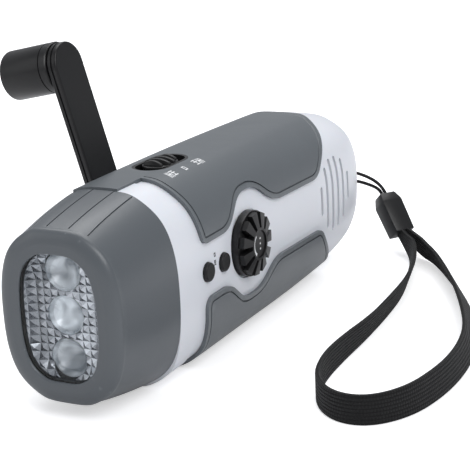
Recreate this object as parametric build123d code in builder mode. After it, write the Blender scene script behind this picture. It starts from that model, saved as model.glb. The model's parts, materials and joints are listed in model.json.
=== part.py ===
"""Hand crank flashlight with a scan radio: casing, lamp, radio, dynamo, folding crank and wrist lanyard.

Millimetres. +Z is up and the flat underside is at Z 0. The lamp looks along -Y, the dial and buttons are on
the +X side and the crank is on the -X side. Places along the torch are distances behind the crease line
between bezel and head, turned into Y by along().
"""

from build123d import *
from collections import namedtuple
from math import acos, cos, pi, radians, sin, sqrt, tan
import os

os.makedirs("parts", exist_ok=True)

# ---------------------------------------------------------------- driving dimensions
crease_y = -78.0  # Y of the crease between bezel and head
axis_height = 26.9  # height of the torch's centre line over its flat underside
oval_power = 2.63  # squareness of the oval cross-section
under_power = 3.0  # the lower half is a little squarer

# head and bezel
head_length = 22.8
head_front_half_width = 17.4
head_front_half_height = 22.7
head_middle_swell = 0.35  # how far the head's sides bulge between its ends
head_rear_half_width = 20.5
head_rear_half_height = 26.6
head_wall = 2.0
head_spigot = 5.0  # length of the lip that goes into the body
spigot_clearance = 0.12
bezel_depth = 2.6
bezel_overhang = 0.2  # the bezel stands this much proud of the head
bezel_front_inset = 3.6
window_half_width = 11.3
window_half_height = 16.7
window_power = 2.9
window_ledge = 1.0  # how far the window reaches behind the bezel
window_thickness = 1.0
window_clearance = 0.15
bezel_lip = 0.7
bezel_edge = 0.5  # rounding of the window opening
seal_thickness = 0.5
seal_width = 0.8
head_line_width = 0.4
head_line_depth = 0.35
head_line_places = (-8.6, -3.2, 3.2, 8.6)

# lamp
led_radius = 4.7
led_spacing = 11.4
led_height = 11.0
led_face = -0.5  # place of the dome tips
led_dome_rise = 2.0
led_hole_clearance = 0.2
reflector_floor = 2.0
reflector_thickness = 1.2
tray_rim_inset = 0.3
tray_floor_inset = 1.6
led_board_thickness = 1.6
led_board_margin = 1.4
led_board_clearance = 0.1
collar_shelf = 0.75  # width of the shelf behind the reflector
collar_wall_gap = 0.3

# body casing
body_length = 155.9
tail_start = 92.7  # where the tail's rounding starts
tail_power = 5.0
front_half_width = 20.0
half_width_gain = 1.5  # growth of the half width over the gain length
gain_length = 92.2
front_top = 53.1
top_drop = 1.6
top_swell = 0.4  # how far the top arches between the head and the tail
front_bottom = 0.6
tail_lift = 1.6
shell_wall = 2.2
band_length = 8.6  # raised band behind the head
band_height = 0.4
grip_thickness = 1.0
grip_gap = 0.04
rim_width = 1.3
groove_width = 0.45
groove_depth = 0.45
tongue_left = 9.5  # the grip's tongue reaches this far on the crank side of the middle
tongue_right = 3.9
tongue_gap = 0.1

# fasteners
screw_shank = 1.3
screw_head = 2.4
screw_head_height = 1.8
screw_pilot_clearance = 0.02
screw_hole_clearance = 0.2
shell_boss = 3.0
small_screw_shank = 0.9
small_screw_head = 1.7
small_screw_head_height = 1.1
small_boss = 2.3

# dial
dial_distance = 62.3
dial_height = 29.8
dial_radius = 9.3
dial_flange = 2.2
dial_ribs = 11
dial_rib_tip = 8.8
dial_rib_rise = 2.4  # height of the ribs over the flange, at the middle
dial_rib_fall = 0.8  # how much lower they are at their tips
dial_rib_root_width = 1.2
dial_rib_tip_width = 3.1
dial_middle_radius = 4.6
dial_dish_radius = 3.9
dial_dish_depth = 0.4
dial_seat_depth = 1.0
dial_seat_clearance = 0.6
dial_boss_wall = 1.0
dial_boss_depth = 1.4
dial_lift = 0.35  # gap under the flange
dial_shaft = 3.0
dial_shaft_length = 3.2

# buttons
button_distances = (38.7, 47.8)
button_height = 28.6
button_radius = 2.6
button_rise = 0.95
button_stem = 1.2
button_travel = 0.8
button_clearance = 0.15
button_collar = 0.8
button_collar_length = 0.9

# slide switch
switch_distance = 52.3
switch_length = 20.4
switch_width = 10.4
switch_wall = 0.8
switch_floor = 0.9
switch_depth = 2.6
slider_length = 12.0
slider_clearance = 0.25
slider_travel = 3.2
slider_rise = 2.1  # how far the ribs stand over the frame's edge
slider_ribs = 4
slider_rib_height = 1.7
slider_rib_foot = 2.6
slider_rib_top = 1.2
slider_stem_width = 2.2
slider_stem_reach = 2.6
switch_body_height = 5.0

# speaker
speaker_distance = 124.0
speaker_height = 28.2
speaker_radius = 12.3
speaker_depth = 6.0
speaker_seat = 16.6  # X of the speaker's front face
speaker_rim = 1.2
speaker_basket_inset = 3.0
speaker_basket_wall = 1.0
magnet_radius = 6.5
magnet_thickness = 3.0
louvre_pitch = 4.3
louvre_width = 1.6
louvre_count = 6

# crank
hub_distance = 68.0
hub_height = 29.1
hub_radius = 11.0
hub_thickness = 3.0
hub_seat = 20.0  # X distance of the flat seat under the hub
hub_clearance = 0.3
crank_shaft_radius = 2.5
running_clearance = 0.05
crank_lean = 6.0  # rest angle of the crank, forward of upright
arm_tilt = 11.7  # rest tilt of the arm, outward
arm_width = 13.6
arm_thickness = 3.3
arm_reach = 45.5  # from the hinge pin to the knob's axis
arm_tongue_width = 8.6
arm_shoulder = 6.8  # from the hinge pin to where the arm gets its full width
hinge_radius = 1.2
hinge_out = 2.9  # from the hub's face to the hinge pin
hinge_up = 4.0
ear_thickness = 2.4
ear_radius = 2.7
ear_clearance = 0.15
arm_groove_width = 0.6
arm_groove_depth = 0.35
knob_radius = 7.3
knob_length = 16.5
knob_collar_radius = 6.85
knob_collar = 2.4
knob_gap = 0.3
stud_radius = 2.0
stud_cover = 1.0  # how much of the arm stays in front of the stud
knob_screw_shank = 1.0
knob_screw_head = 3.2
knob_screw_bore = 3.8
knob_screw_depth = 3.4  # from the knob's end to the stud's end
well_clearance = 0.7
well_wall = 1.2
well_swing = 3.0  # extra length towards the tail, for the knob's end while the arm folds
well_gap = 0.05

# gear train
gear_module = 0.6
pressure_angle = 20.0
backlash = 0.14
crank_teeth = 48
first_pinion_teeth = 12
first_wheel_teeth = 40
second_pinion_teeth = 10
second_wheel_teeth = 30
rotor_teeth = 10
wheel_addendum = 0.6
pinion_addendum = 0.95
dedendum = 1.2
first_direction = 10.0  # direction from the crank shaft to the first axle, over level
second_direction = -75.0
rotor_direction = 187.5
outer_plate_x = -15.6
outer_plate_thickness = 0.8
gear_layer_one = -14.2
gear_layer_two = -11.5
gear_layer_three = -9.0
gear_width = 1.7
inner_plate_x = -6.6
inner_plate_thickness = 1.2
axle_radius = 1.0
gear_plate_posts = ((60.4, 13.4), (54.6, 39.2), (97.9, 39.9), (98.0, 10.6))
gear_post_radius = 1.4
plate_margin = 2.0

# dynamo
stator_radius = 11.6
stator_wall = 1.0
stator_length = 10.4
coil_bore = 6.6
coil_length = 7.0
rotor_radius = 6.0
rotor_length = 6.6
rotor_shaft_radius = 0.75

# electronics
board_x = 10.0
board_thickness = 1.6
board_front = 29.0
board_rear = 103.0
board_bottom = 13.0
board_top = 42.0
board_screw_inset = 3.0
cell_radius = 7.6
cell_length = 5.8
cell_gap = 0.3
cell_count = 3
battery_front = 38.0
battery_height = 14.0
cradle_wall = 1.2
cradle_clearance = 0.2
antenna_radius = 2.2
antenna_length = 38.0
antenna_height = 37.6
antenna_distance = 77.0
antenna_gap = 1.0
antenna_clip_width = 3.0
antenna_clip_inset = 6.0

# lanyard
lanyard_x = 9.0
lanyard_height = 24.5
lanyard_bar_radius = 1.0
lanyard_bar_inset = 3.2
pocket_width = 7.0
pocket_height = 6.2
pocket_depth = 6.4
pocket_wall = 1.4
cord_radius = 0.55
strap_width = 8.0
strap_thickness = 1.2
bead_length = 15.0
bead_width = 6.6
bead_depth = 5.6
bead_top_share = 0.78
bead_foot_share = 0.94
slot_clearance = 0.15

# free cord: route of the doubled cord from the bead, round the bar and back, as X, distance, Z
cord_route = (
    (24.35, 160.65, 18.7),
    (22.9, 161.7, 20.6),
    (18.9, 162.9, 22.9),
    (13.6, 162.0, 25.0),
    (9.3, 158.6, 26.2),
    (9.0, 150.9, 26.2),
    (9.0, 150.9, 22.8),
    (9.4, 158.4, 22.8),
    (13.4, 161.6, 22.3),
    (18.4, 162.9, 20.7),
    (21.8, 162.4, 19.4),
    (23.2, 161.45, 17.37),
)
# strap: route of the webbing over the ground, as X, distance
strap_route = (
    (30.6, 155.2),
    (35.0, 151.6),
    (39.8, 144.8),
    (44.6, 129.0),
    (48.6, 111.0),
    (50.1, 93.0),
    (50.9, 75.0),
    (50.2, 58.0),
    (50.7, 43.0),
    (54.2, 29.5),
    (62.0, 21.0),
    (71.5, 20.6),
    (79.0, 30.0),
    (82.2, 45.0),
    (82.6, 60.0),
    (80.4, 76.0),
    (74.5, 93.0),
    (67.0, 110.0),
    (57.6, 127.0),
    (47.6, 143.0),
    (37.4, 153.4),
    (31.8, 156.6),
)
bead_top_place = (23.8, 161.0, 18.0)
bead_foot_place = (32.4, 155.0, 6.3)

# ---------------------------------------------------------------- derived places
hub_face = hub_seat + hub_clearance + hub_thickness


def along(distance):
    """Y of a place that lies this far behind the crease line."""
    return crease_y + distance


def save(part, name):
    """Label a finished piece and write it to its file."""
    part.label = name
    export_step(part, f"parts/{name}.step")


# ---------------------------------------------------------------- oval forms
Ring = namedtuple("Ring", "distance half_width rise fall power")


def ring_plane(distance):
    """Upright cross-section plane at a distance, seen from the front, centred on the torch's axis."""
    return Plane(origin=(0, along(distance), axis_height), x_dir=(1, 0, 0), z_dir=(0, -1, 0))


def oval_quarter(half_width, reach, power):
    """Points of a quarter of the oval, from its side to its top or bottom."""
    steps = 4
    points = [(half_width, 0)]
    for step in range(1, steps):
        turn = radians(90) * step / steps
        points.append((half_width * cos(turn) ** (2 / power), reach * sin(turn) ** (2 / power)))
    points.append((0, reach))
    return points


def oval_face(ring):
    """Filled oval cross-section."""
    with BuildSketch(ring_plane(ring.distance)) as outline:
        with BuildLine():
            for reach, power in ((ring.rise, oval_power), (-ring.fall, ring.power)):
                points = oval_quarter(ring.half_width, reach, power)
                Spline(*points, tangents=((0, reach), (-ring.half_width, 0)))
            mirror(about=Plane.YZ)
        make_face()
    return outline.sketch


def oval_form(rings):
    """Smooth solid through a row of ovals."""
    with BuildPart() as form:
        loft(sections=[oval_face(ring).face() for ring in rings])
    return form.part


def tail_scale(share):
    """How much the tail has drawn in, at a share of its length."""
    return (1 - share**tail_power) ** (1 / tail_power)


def body_ring(distance, grow, end):
    """Body cross-section at a distance, grown outward all round."""
    gain = (distance - head_length) / gain_length
    drawn = 1.0
    lift = 0.0
    if distance > tail_start:
        drawn = tail_scale((distance - tail_start) / (end - tail_start))
        lift = tail_lift * (distance - tail_start) / (body_length - tail_start)
    half_width = (front_half_width + half_width_gain * gain + grow) * drawn
    arch = top_swell * sin(pi * min(gain, 1.0))
    rise = (front_top - top_drop * gain + arch - axis_height + grow) * drawn
    fall = (axis_height - front_bottom - lift + grow) * drawn
    return Ring(distance, half_width, rise, fall, under_power)


front_steps = 4
tail_shares = (0.0, 0.3, 0.52, 0.7, 0.82, 0.9, 0.955, 0.985, 0.997)


def body_form(grow):
    """Body casing's outer form, grown outward or, with a negative value, drawn inward."""
    end = body_length + grow
    front_step = (tail_start - head_length) / front_steps
    distances = [head_length + front_step * index for index in range(front_steps)]
    for share in tail_shares:
        distances.append(tail_start + share * (end - tail_start))
    return oval_form([body_ring(distance, grow, end) for distance in distances])


body_outer = body_form(0)
body_inner = body_form(-shell_wall)
grip_outer = body_form(grip_thickness)
grip_inner = body_form(grip_gap)
groove_floor = body_form(grip_thickness - groove_depth)
band_outer = body_form(band_height)
rough_length = 400.0


def slab(start, stop):
    """Block that holds everything between two distances."""
    with BuildPart() as block:
        with BuildSketch(Plane.XZ.offset(-along(start))):
            Rectangle(rough_length, rough_length)
        extrude(amount=-(stop - start))
    return block.part


def rod(radius, start, stop, places, mode=Mode.ADD):
    """Round bars along X between two X values, centred on (distance, height) places."""
    with BuildSketch(Plane.YZ.offset(start), mode=Mode.PRIVATE) as section:
        with Locations(*[(along(distance), height) for distance, height in places]):
            Circle(radius)
    extrude(section.sketch, amount=stop - start, mode=mode)


def side_block(low, high, mode=Mode.ADD):
    """Block between two corners given as X, distance, Z."""
    size = [b - a for a, b in zip(low, high)]
    centre = ((low[0] + high[0]) / 2, along((low[1] + high[1]) / 2), (low[2] + high[2]) / 2)
    with Locations(centre):
        Box(*size, mode=mode)


# ---------------------------------------------------------------- bezel, window and head
def head_ring(distance, grow):
    """Head cross-section: a straight taper with a slight swell."""
    share = distance / head_length
    swell = 4 * head_middle_swell * share * (1 - share) if 0 < share < 1 else 0
    half_width = head_front_half_width + (head_rear_half_width - head_front_half_width) * share
    half_height = head_front_half_height + (head_rear_half_height - head_front_half_height) * share
    half_width += swell + grow
    half_height += swell + grow
    return Ring(distance, half_width, half_height, half_height, oval_power)


def plain_ring(distance, half_width, half_height, power=oval_power):
    """Cross-section with the same squareness above and below."""
    return Ring(distance, half_width, half_height, half_height, power)


def window_face(distance, grow):
    """Window-shaped section, grown outward."""
    with BuildSketch(ring_plane(distance)) as outline:
        with BuildLine():
            for side in (1, -1):
                reach = side * (window_half_height + grow)
                points = oval_quarter(window_half_width + grow, reach, window_power)
                Spline(*points, tangents=((0, reach), (-window_half_width - grow, 0)))
            mirror(about=Plane.YZ)
        make_face()
    return outline.sketch


bezel_half_width = head_front_half_width + bezel_overhang
bezel_half_height = head_front_half_height + bezel_overhang
bezel_rings = [plain_ring(0, bezel_half_width, bezel_half_height)]
for depth_share, inset_share in ((0.45, 0.1), (0.8, 0.42), (1.0, 1.0)):
    bezel_rings.append(
        plain_ring(
            -bezel_depth * depth_share,
            bezel_half_width - bezel_front_inset * inset_share,
            bezel_half_height - bezel_front_inset * inset_share,
        )
    )
window_front = -bezel_depth + bezel_lip
window_back = window_front + window_thickness
seal_back = window_back + seal_thickness

with BuildPart() as front_bezel:
    add(oval_form(list(reversed(bezel_rings))))
    extrude(window_face(-bezel_depth - 1, 0), amount=-(bezel_depth + 2), mode=Mode.SUBTRACT)
    extrude(
        window_face(window_front, window_ledge + window_clearance), amount=-bezel_depth, mode=Mode.SUBTRACT
    )
    fillet(front_bezel.faces().sort_by(Axis.Y)[0].inner_wires().edges(), bezel_edge)
save(front_bezel.part, "front_bezel")

with BuildPart() as lens_window:
    extrude(window_face(window_front, window_ledge), amount=-window_thickness)
save(lens_window.part, "lens_window")

with BuildPart() as lens_seal:
    extrude(window_face(window_back, window_ledge), amount=-seal_thickness)
    extrude(window_face(window_back, window_ledge - seal_width), amount=-seal_thickness, mode=Mode.SUBTRACT)
save(lens_seal.part, "lens_seal")

led_places = [(0, led_spacing * row) for row in (1, 0, -1)]
led_board_front = led_face + led_height
reflector_back = reflector_floor + reflector_thickness

with BuildPart() as reflector_tray:
    tray_mouth = window_face(seal_back, -tray_rim_inset)
    tray_floor = window_face(reflector_floor, -tray_floor_inset)
    loft(sections=[tray_mouth.face(), tray_floor.face()])

with BuildPart() as reflector:
    extrude(window_face(seal_back, window_ledge), amount=-(reflector_back - seal_back))
    add(reflector_tray.part, mode=Mode.SUBTRACT)
    with BuildSketch(ring_plane(seal_back)):
        with Locations(*led_places):
            Circle(led_radius + led_hole_clearance)
    extrude(amount=-(reflector_back - seal_back), mode=Mode.SUBTRACT)
save(reflector.part, "reflector")

led_dome_radius = (led_radius**2 + led_dome_rise**2) / (2 * led_dome_rise)
with BuildPart() as led_domes:
    with Locations(*[(0, along(led_face + led_dome_radius), axis_height + rise) for _, rise in led_places]):
        Sphere(led_dome_radius)

with BuildPart() as led_lenses:
    with BuildSketch(ring_plane(led_face)):
        with Locations(*led_places):
            Circle(led_radius)
    extrude(amount=-led_height)
    add(led_domes.part, mode=Mode.INTERSECT)
save(led_lenses.part, "led_lenses")

with BuildPart() as led_board:
    extrude(window_face(led_board_front, led_board_margin), amount=-led_board_thickness)
save(led_board.part, "led_board")

head_inner_distances = (-0.5, head_length / 2, head_length + 0.5)
head_inner = oval_form([head_ring(distance, -head_wall) for distance in head_inner_distances])
board_shelf = led_board_front + led_board_thickness
spigot_outer = body_form(-shell_wall - spigot_clearance)
spigot_inner = body_form(-shell_wall - spigot_clearance - 1.4)


def head_form(grow):
    """Head's outer form, grown outward or, with a negative value, drawn inward."""
    return oval_form([head_ring(distance, grow) for distance in (0, head_length / 2, head_length)])


# collar that carries the reflector's rim and the lamp board
with BuildPart() as head_collar:
    collar_bore = window_ledge + window_clearance
    board_bore = led_board_margin + led_board_clearance
    add(head_form(-head_wall + collar_wall_gap))
    add(slab(0, board_shelf), mode=Mode.INTERSECT)
    extrude(window_face(-1, collar_bore), amount=-(reflector_back + 1), mode=Mode.SUBTRACT)
    extrude(
        window_face(reflector_back, collar_bore - collar_shelf), amount=-rough_length, mode=Mode.SUBTRACT
    )
    extrude(window_face(led_board_front, board_bore), amount=-rough_length, mode=Mode.SUBTRACT)

# lip that the body halves close round
with BuildPart() as head_lip:
    add(spigot_outer)
    add(spigot_inner, mode=Mode.SUBTRACT)
    add(slab(head_length - 1, head_length + head_spigot), mode=Mode.INTERSECT)

# web that joins the head's wall to its lip
with BuildPart() as head_web:
    add(head_form(0))
    add(slab(head_length - 2, head_length), mode=Mode.INTERSECT)
    extrude(window_face(head_length - 3, 3.4), amount=-5, mode=Mode.SUBTRACT)

# cutter for the lengthwise lines on top
with BuildPart() as line_blocks:
    for place in head_line_places:
        side_block(
            (place - head_line_width / 2, 0.8, axis_height),
            (place + head_line_width / 2, head_length, axis_height + 2 * head_rear_half_height),
        )

with BuildPart() as head_lines:
    add(head_form(0.5))
    add(head_form(-head_line_depth), mode=Mode.SUBTRACT)
    add(line_blocks.part, mode=Mode.INTERSECT)

with BuildPart() as head_shell:
    add(head_form(0))
    add(head_inner, mode=Mode.SUBTRACT)
    add(head_collar.part)
    add(head_lip.part)
    add(head_web.part)
    add(head_lines.part, mode=Mode.SUBTRACT)
save(head_shell.part, "head_shell")

# ---------------------------------------------------------------- side outlines of the grips
# corners as (distance, height), each with the radius of its rounding
top_grip_corners = (
    ((34.2, 60.0), 0),
    ((37.0, 36.6), 1.9),
    ((51.0, 36.6), 11.0),
    ((60.6, 44.2), 12.0),
    ((70.8, 44.2), 12.0),
    ((79.3, 37.4), 14.0),
    ((109.5, 36.6), 10.0),
    ((131.0, 52.0), 6.0),
    ((138.0, 60.0), 0),
)
bottom_grip_corners = (
    ((39.5, -6.0), 0),
    ((36.4, 21.8), 3.2),
    ((49.6, 21.8), 10.0),
    ((59.0, 14.6), 12.0),
    ((69.6, 14.6), 12.0),
    ((78.8, 21.0), 13.0),
    ((110.6, 20.2), 5.5),
    ((124.0, 5.0), 6.0),
    ((130.0, -6.0), 0),
)


def grip_outline(corners, inset):
    """Side view of a grip, drawn in by a distance, in the side plane."""
    with BuildSketch(Plane.YZ.offset(-rough_length / 2)) as outline:
        with BuildLine():
            points = [(along(place[0]), place[1]) for place, _ in corners]
            radii = [radius for _, radius in corners[1:-1]]
            FilletPolyline(*points, radius=radii)
            Line(points[-1], points[0])
        make_face()
        if inset:
            offset(amount=-inset, mode=Mode.REPLACE)
    return outline.sketch


def grip_groove(corners):
    """Cutter for the groove line that runs inside a grip's edge."""
    with BuildPart() as groove:
        extrude(grip_outline(corners, rim_width), amount=rough_length)
        extrude(grip_outline(corners, rim_width + groove_width), amount=rough_length, mode=Mode.SUBTRACT)
        add(groove_floor, mode=Mode.SUBTRACT)
    return groove.part


with BuildPart() as grip_layer:
    add(grip_outer)
    add(grip_inner, mode=Mode.SUBTRACT)
    side_block((-rough_length, 0, -rough_length), (rough_length, rough_length, 0), mode=Mode.SUBTRACT)


def grip_blank(corners):
    """Grip before its groove: the layer over the casing inside the side outline."""
    with BuildPart() as blank:
        extrude(grip_outline(corners, 0), amount=rough_length)
        add(grip_layer.part, mode=Mode.INTERSECT)
    return blank.part


with BuildPart() as grip_tongue:
    side_block(
        (-tongue_left, head_length + 2 * tongue_gap, axis_height),
        (tongue_right, 40.0, axis_height + rough_length / 4),
    )
    add(grip_layer.part, mode=Mode.INTERSECT)

switch_y = along(switch_distance)
switch_top = body_ring(switch_distance, grip_thickness, body_length).rise + axis_height - 0.15
switch_clearance = 0.1
hub_pocket = hub_radius + 0.5
well_distance = hub_distance + arm_reach - hinge_up
hub_place = [(hub_distance, hub_height)]
dial_place = [(dial_distance, dial_height)]
speaker_place = [(speaker_distance, speaker_height)]
button_places = [(distance, button_height) for distance in button_distances]
dial_seat = body_ring(dial_distance, 0, body_length).half_width - dial_seat_depth
dial_seat_radius = dial_radius + dial_seat_clearance


def well_bar(grow, start, stop, mode=Mode.ADD):
    """Bar along X with the slot-shaped outline of the knob well, grown outward."""
    radius = knob_radius + well_clearance + grow
    with BuildSketch(Plane.YZ.offset(start), mode=Mode.PRIVATE) as section:
        with Locations((along(well_distance + well_swing / 2), hub_height)):
            SlotOverall(2 * radius + well_swing, 2 * radius)
    extrude(section.sketch, amount=stop - start, mode=mode)


def switch_opening(grow, depth):
    """Stadium-shaped cutter for the slide switch, down from above the top."""
    with BuildPart() as opening:
        with BuildSketch(Plane.XY.offset(switch_top - depth)):
            with Locations((0, switch_y)):
                SlotOverall(switch_length + 2 * grow, switch_width + 2 * grow, rotation=90)
        extrude(amount=rough_length / 4)
    return opening.part


with BuildPart() as top_grip:
    add(grip_blank(top_grip_corners))
    well_bar(well_wall + 3 * well_gap, -rough_length / 4, -10, mode=Mode.SUBTRACT)
    add(switch_opening(switch_clearance, 8), mode=Mode.SUBTRACT)
    add(grip_groove(top_grip_corners), mode=Mode.SUBTRACT)
    add(grip_tongue.part)
save(top_grip.part, "top_grip")

with BuildPart() as bottom_grip:
    add(grip_blank(bottom_grip_corners))
    add(grip_groove(bottom_grip_corners), mode=Mode.SUBTRACT)
    well_bar(well_wall + 3 * well_gap, -rough_length / 4, -10, mode=Mode.SUBTRACT)
save(bottom_grip.part, "bottom_grip")

# ---------------------------------------------------------------- body halves
shell_screw_places = ((33.0, 46.0), (33.0, 8.0), (122.0, 44.6), (122.0, 9.6))
screw_head_seat = -11.0
screw_length_right = 7.0
board_screw_places = [
    (distance, height)
    for distance in (board_front + board_screw_inset, board_rear - board_screw_inset)
    for height in (board_bottom + board_screw_inset, board_top - board_screw_inset)
]

with BuildPart() as neck_band:
    add(band_outer)
    add(slab(head_length, head_length + band_length), mode=Mode.INTERSECT)
    side_block(
        (-tongue_left - tongue_gap, 0, axis_height),
        (tongue_right + tongue_gap, 60, axis_height + rough_length / 4),
        mode=Mode.SUBTRACT,
    )

with BuildPart() as casing:
    add(body_outer)
    add(neck_band.part)
    add(body_inner, mode=Mode.SUBTRACT)
    add(switch_opening(switch_clearance, 8), mode=Mode.SUBTRACT)


def half_of_casing(side):
    """One half of the hollow casing, right for side 1 and left for side -1."""
    with BuildPart() as half:
        add(casing.part)
        split(bisect_by=Plane.YZ, keep=Keep.TOP if side > 0 else Keep.BOTTOM)
    return half.part


pocket_low = (lanyard_x - pocket_width / 2, body_length - pocket_depth, lanyard_height - pocket_height / 2)
pocket_high = (lanyard_x + pocket_width / 2, body_length + 10, lanyard_height + pocket_height / 2)
pocket_block_low = tuple(value - pocket_wall for value in pocket_low)
pocket_block_high = (
    pocket_high[0] + pocket_wall,
    pocket_high[1],
    pocket_high[2] + pocket_wall,
)
bar_distance = body_length - lanyard_bar_inset

with BuildPart() as right_bosses:
    rod(shell_boss, 0, rough_length / 4, shell_screw_places)
    rod(small_boss, board_x + board_thickness, rough_length / 4, board_screw_places)
    rod(dial_seat_radius + dial_boss_wall, dial_seat - dial_boss_depth, rough_length / 4, dial_place)
    rod(speaker_radius + 1.2, speaker_seat - 1.0, rough_length / 4, speaker_place)
    side_block(pocket_block_low, pocket_block_high)
    add(body_outer, mode=Mode.INTERSECT)

with BuildPart() as right_shell:
    add(half_of_casing(1))
    add(right_bosses.part)
    # speaker seat and louvres
    rod(speaker_radius + 0.15, 0, speaker_seat, speaker_place, mode=Mode.SUBTRACT)
    for index in range(louvre_count):
        offset_y = (index - (louvre_count - 1) / 2) * louvre_pitch
        reach = sqrt((speaker_radius - 0.6) ** 2 - offset_y**2)
        with BuildSketch(Plane.YZ.offset(speaker_seat - 2)):
            with Locations((along(speaker_distance) + offset_y, speaker_height)):
                SlotOverall(2 * reach, louvre_width, rotation=90)
        extrude(amount=rough_length / 4, mode=Mode.SUBTRACT)
    # dial seat and shaft hole
    rod(dial_seat_radius, dial_seat, rough_length / 4, dial_place, mode=Mode.SUBTRACT)
    rod(dial_shaft + 0.3, 0, rough_length / 4, dial_place, mode=Mode.SUBTRACT)
    # buttons
    rod(button_radius + button_clearance, 0, rough_length / 4, button_places, mode=Mode.SUBTRACT)
    # screw pilots
    rod(
        screw_shank + screw_pilot_clearance, -1, screw_length_right + 1, shell_screw_places,
        mode=Mode.SUBTRACT,
    )
    rod(
        small_screw_shank + screw_pilot_clearance,
        board_x,
        board_x + board_thickness + 4,
        board_screw_places,
        mode=Mode.SUBTRACT,
    )
    # lanyard pocket and the bar's seats
    side_block(pocket_low, pocket_high, mode=Mode.SUBTRACT)
    rod(
        lanyard_bar_radius + 0.02,
        lanyard_x - pocket_width / 2 - 1.0,
        lanyard_x + pocket_width / 2 + 1.0,
        [(bar_distance, lanyard_height)],
        mode=Mode.SUBTRACT,
    )
save(right_shell.part, "right_shell")

well_floor_x = -(hub_face + hinge_out - arm_thickness / 2 - knob_length - knob_gap - 1.2)

with BuildPart() as left_bosses:
    rod(shell_boss, -rough_length / 4, 0, shell_screw_places)
    rod(hub_pocket + 1.2, -rough_length / 4, -(hub_seat - 1.5), hub_place)
    rod(crank_shaft_radius + 2.0, -rough_length / 4, -(hub_seat - 3.0), hub_place)
    rod(small_boss, -rough_length / 4, outer_plate_x, gear_plate_posts)
    add(body_outer, mode=Mode.INTERSECT)

with BuildPart() as left_shell:
    add(half_of_casing(-1))
    add(left_bosses.part)
    rod(hub_pocket, -rough_length / 4, -hub_seat, hub_place, mode=Mode.SUBTRACT)
    rod(crank_shaft_radius + running_clearance, -rough_length / 4, 0, hub_place, mode=Mode.SUBTRACT)
    rod(screw_shank + screw_hole_clearance, -rough_length / 4, 1, shell_screw_places, mode=Mode.SUBTRACT)
    rod(screw_head + 0.2, -rough_length / 4, screw_head_seat, shell_screw_places, mode=Mode.SUBTRACT)
    rod(
        small_screw_shank + screw_pilot_clearance,
        outer_plate_x - 3.0,
        outer_plate_x + 1,
        gear_plate_posts,
        mode=Mode.SUBTRACT,
    )
    well_bar(well_wall + well_gap, -rough_length / 4, 0, mode=Mode.SUBTRACT)
save(left_shell.part, "left_shell")

with BuildPart() as knob_well:
    well_bar(well_wall, -rough_length / 4, well_floor_x + well_wall)
    add(body_outer, mode=Mode.INTERSECT)
    well_bar(0, -rough_length / 4, well_floor_x, mode=Mode.SUBTRACT)
save(knob_well.part, "knob_well")

with BuildPart() as shell_screws:
    rod(screw_head, screw_head_seat - screw_head_height, screw_head_seat, shell_screw_places)
    rod(screw_shank, screw_head_seat, screw_length_right, shell_screw_places)
save(shell_screws.part, "shell_screws")

with BuildPart() as board_screws:
    rod(small_screw_head, board_x - small_screw_head_height, board_x, board_screw_places)
    rod(small_screw_shank, board_x, board_x + board_thickness + 3, board_screw_places)
save(board_screws.part, "board_screws")

# ---------------------------------------------------------------- slide switch
frame_floor_top = switch_top - switch_depth + switch_floor
slot_length = slider_stem_width + 2 * slider_travel + 0.6

with BuildPart() as switch_frame:
    with BuildSketch(Plane.XY.offset(switch_top - switch_depth)):
        with Locations((0, switch_y)):
            SlotOverall(switch_length, switch_width, rotation=90)
    extrude(amount=switch_depth)
    with BuildSketch(Plane.XY.offset(frame_floor_top)):
        with Locations((0, switch_y)):
            SlotOverall(switch_length - 2 * switch_wall, switch_width - 2 * switch_wall, rotation=90)
    extrude(amount=switch_depth, mode=Mode.SUBTRACT)
    with Locations((0, switch_y, switch_top - switch_depth)):
        Box(slider_stem_width + 0.5, slot_length, 4 * switch_floor, mode=Mode.SUBTRACT)
save(switch_frame.part, "switch_frame")

slider_width = switch_width - 2 * switch_wall - 2 * slider_clearance
slider_base_z = frame_floor_top + 0.1
slider_top_z = switch_top + slider_rise
rib_pitch = slider_length / slider_ribs


def slider_block(height):
    """Stadium-shaped block of the slider's outline."""
    with BuildPart() as block:
        with BuildSketch(Plane.XY.offset(slider_base_z)):
            with Locations((0, switch_y)):
                SlotOverall(slider_length, slider_width, rotation=90)
        extrude(amount=height)
    return block.part


with BuildPart() as slider_rib_row:
    for index in range(slider_ribs):
        rib_y = switch_y + (index - (slider_ribs - 1) / 2) * rib_pitch
        with BuildSketch(Plane.YZ.offset(-slider_width / 2)):
            with BuildLine():
                Polyline(
                    (rib_y - slider_rib_foot / 2, slider_base_z),
                    (rib_y + slider_rib_foot / 2, slider_base_z),
                    (rib_y + slider_rib_top / 2, slider_top_z),
                    (rib_y - slider_rib_top / 2, slider_top_z),
                    close=True,
                )
            make_face()
        extrude(amount=slider_width)
    add(slider_block(slider_top_z - slider_base_z + 1), mode=Mode.INTERSECT)

with BuildPart() as switch_slider:
    add(slider_block(slider_top_z - slider_base_z - slider_rib_height))
    add(slider_rib_row.part)
    with Locations((0, switch_y, slider_base_z)):
        Box(
            slider_stem_width,
            slider_stem_width,
            slider_stem_reach,
            align=(Align.CENTER, Align.CENTER, Align.MAX),
        )
save(switch_slider.part, "switch_slider")

switch_body_top = slider_base_z - slider_stem_reach - 0.2
with BuildPart() as slide_switch:
    with Locations((0, switch_y, switch_body_top)):
        Box(7.0, 16.0, switch_body_height, align=(Align.CENTER, Align.CENTER, Align.MAX))
save(slide_switch.part, "slide_switch")

# ---------------------------------------------------------------- dial, buttons and their parts
dial_base = dial_seat + dial_lift
dial_flange_top = dial_base + dial_flange
dial_top = dial_flange_top + dial_rib_rise
dial_centre = (along(dial_distance), dial_height)
rib_slope = (dial_rib_tip - dial_middle_radius) / dial_rib_fall

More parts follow.
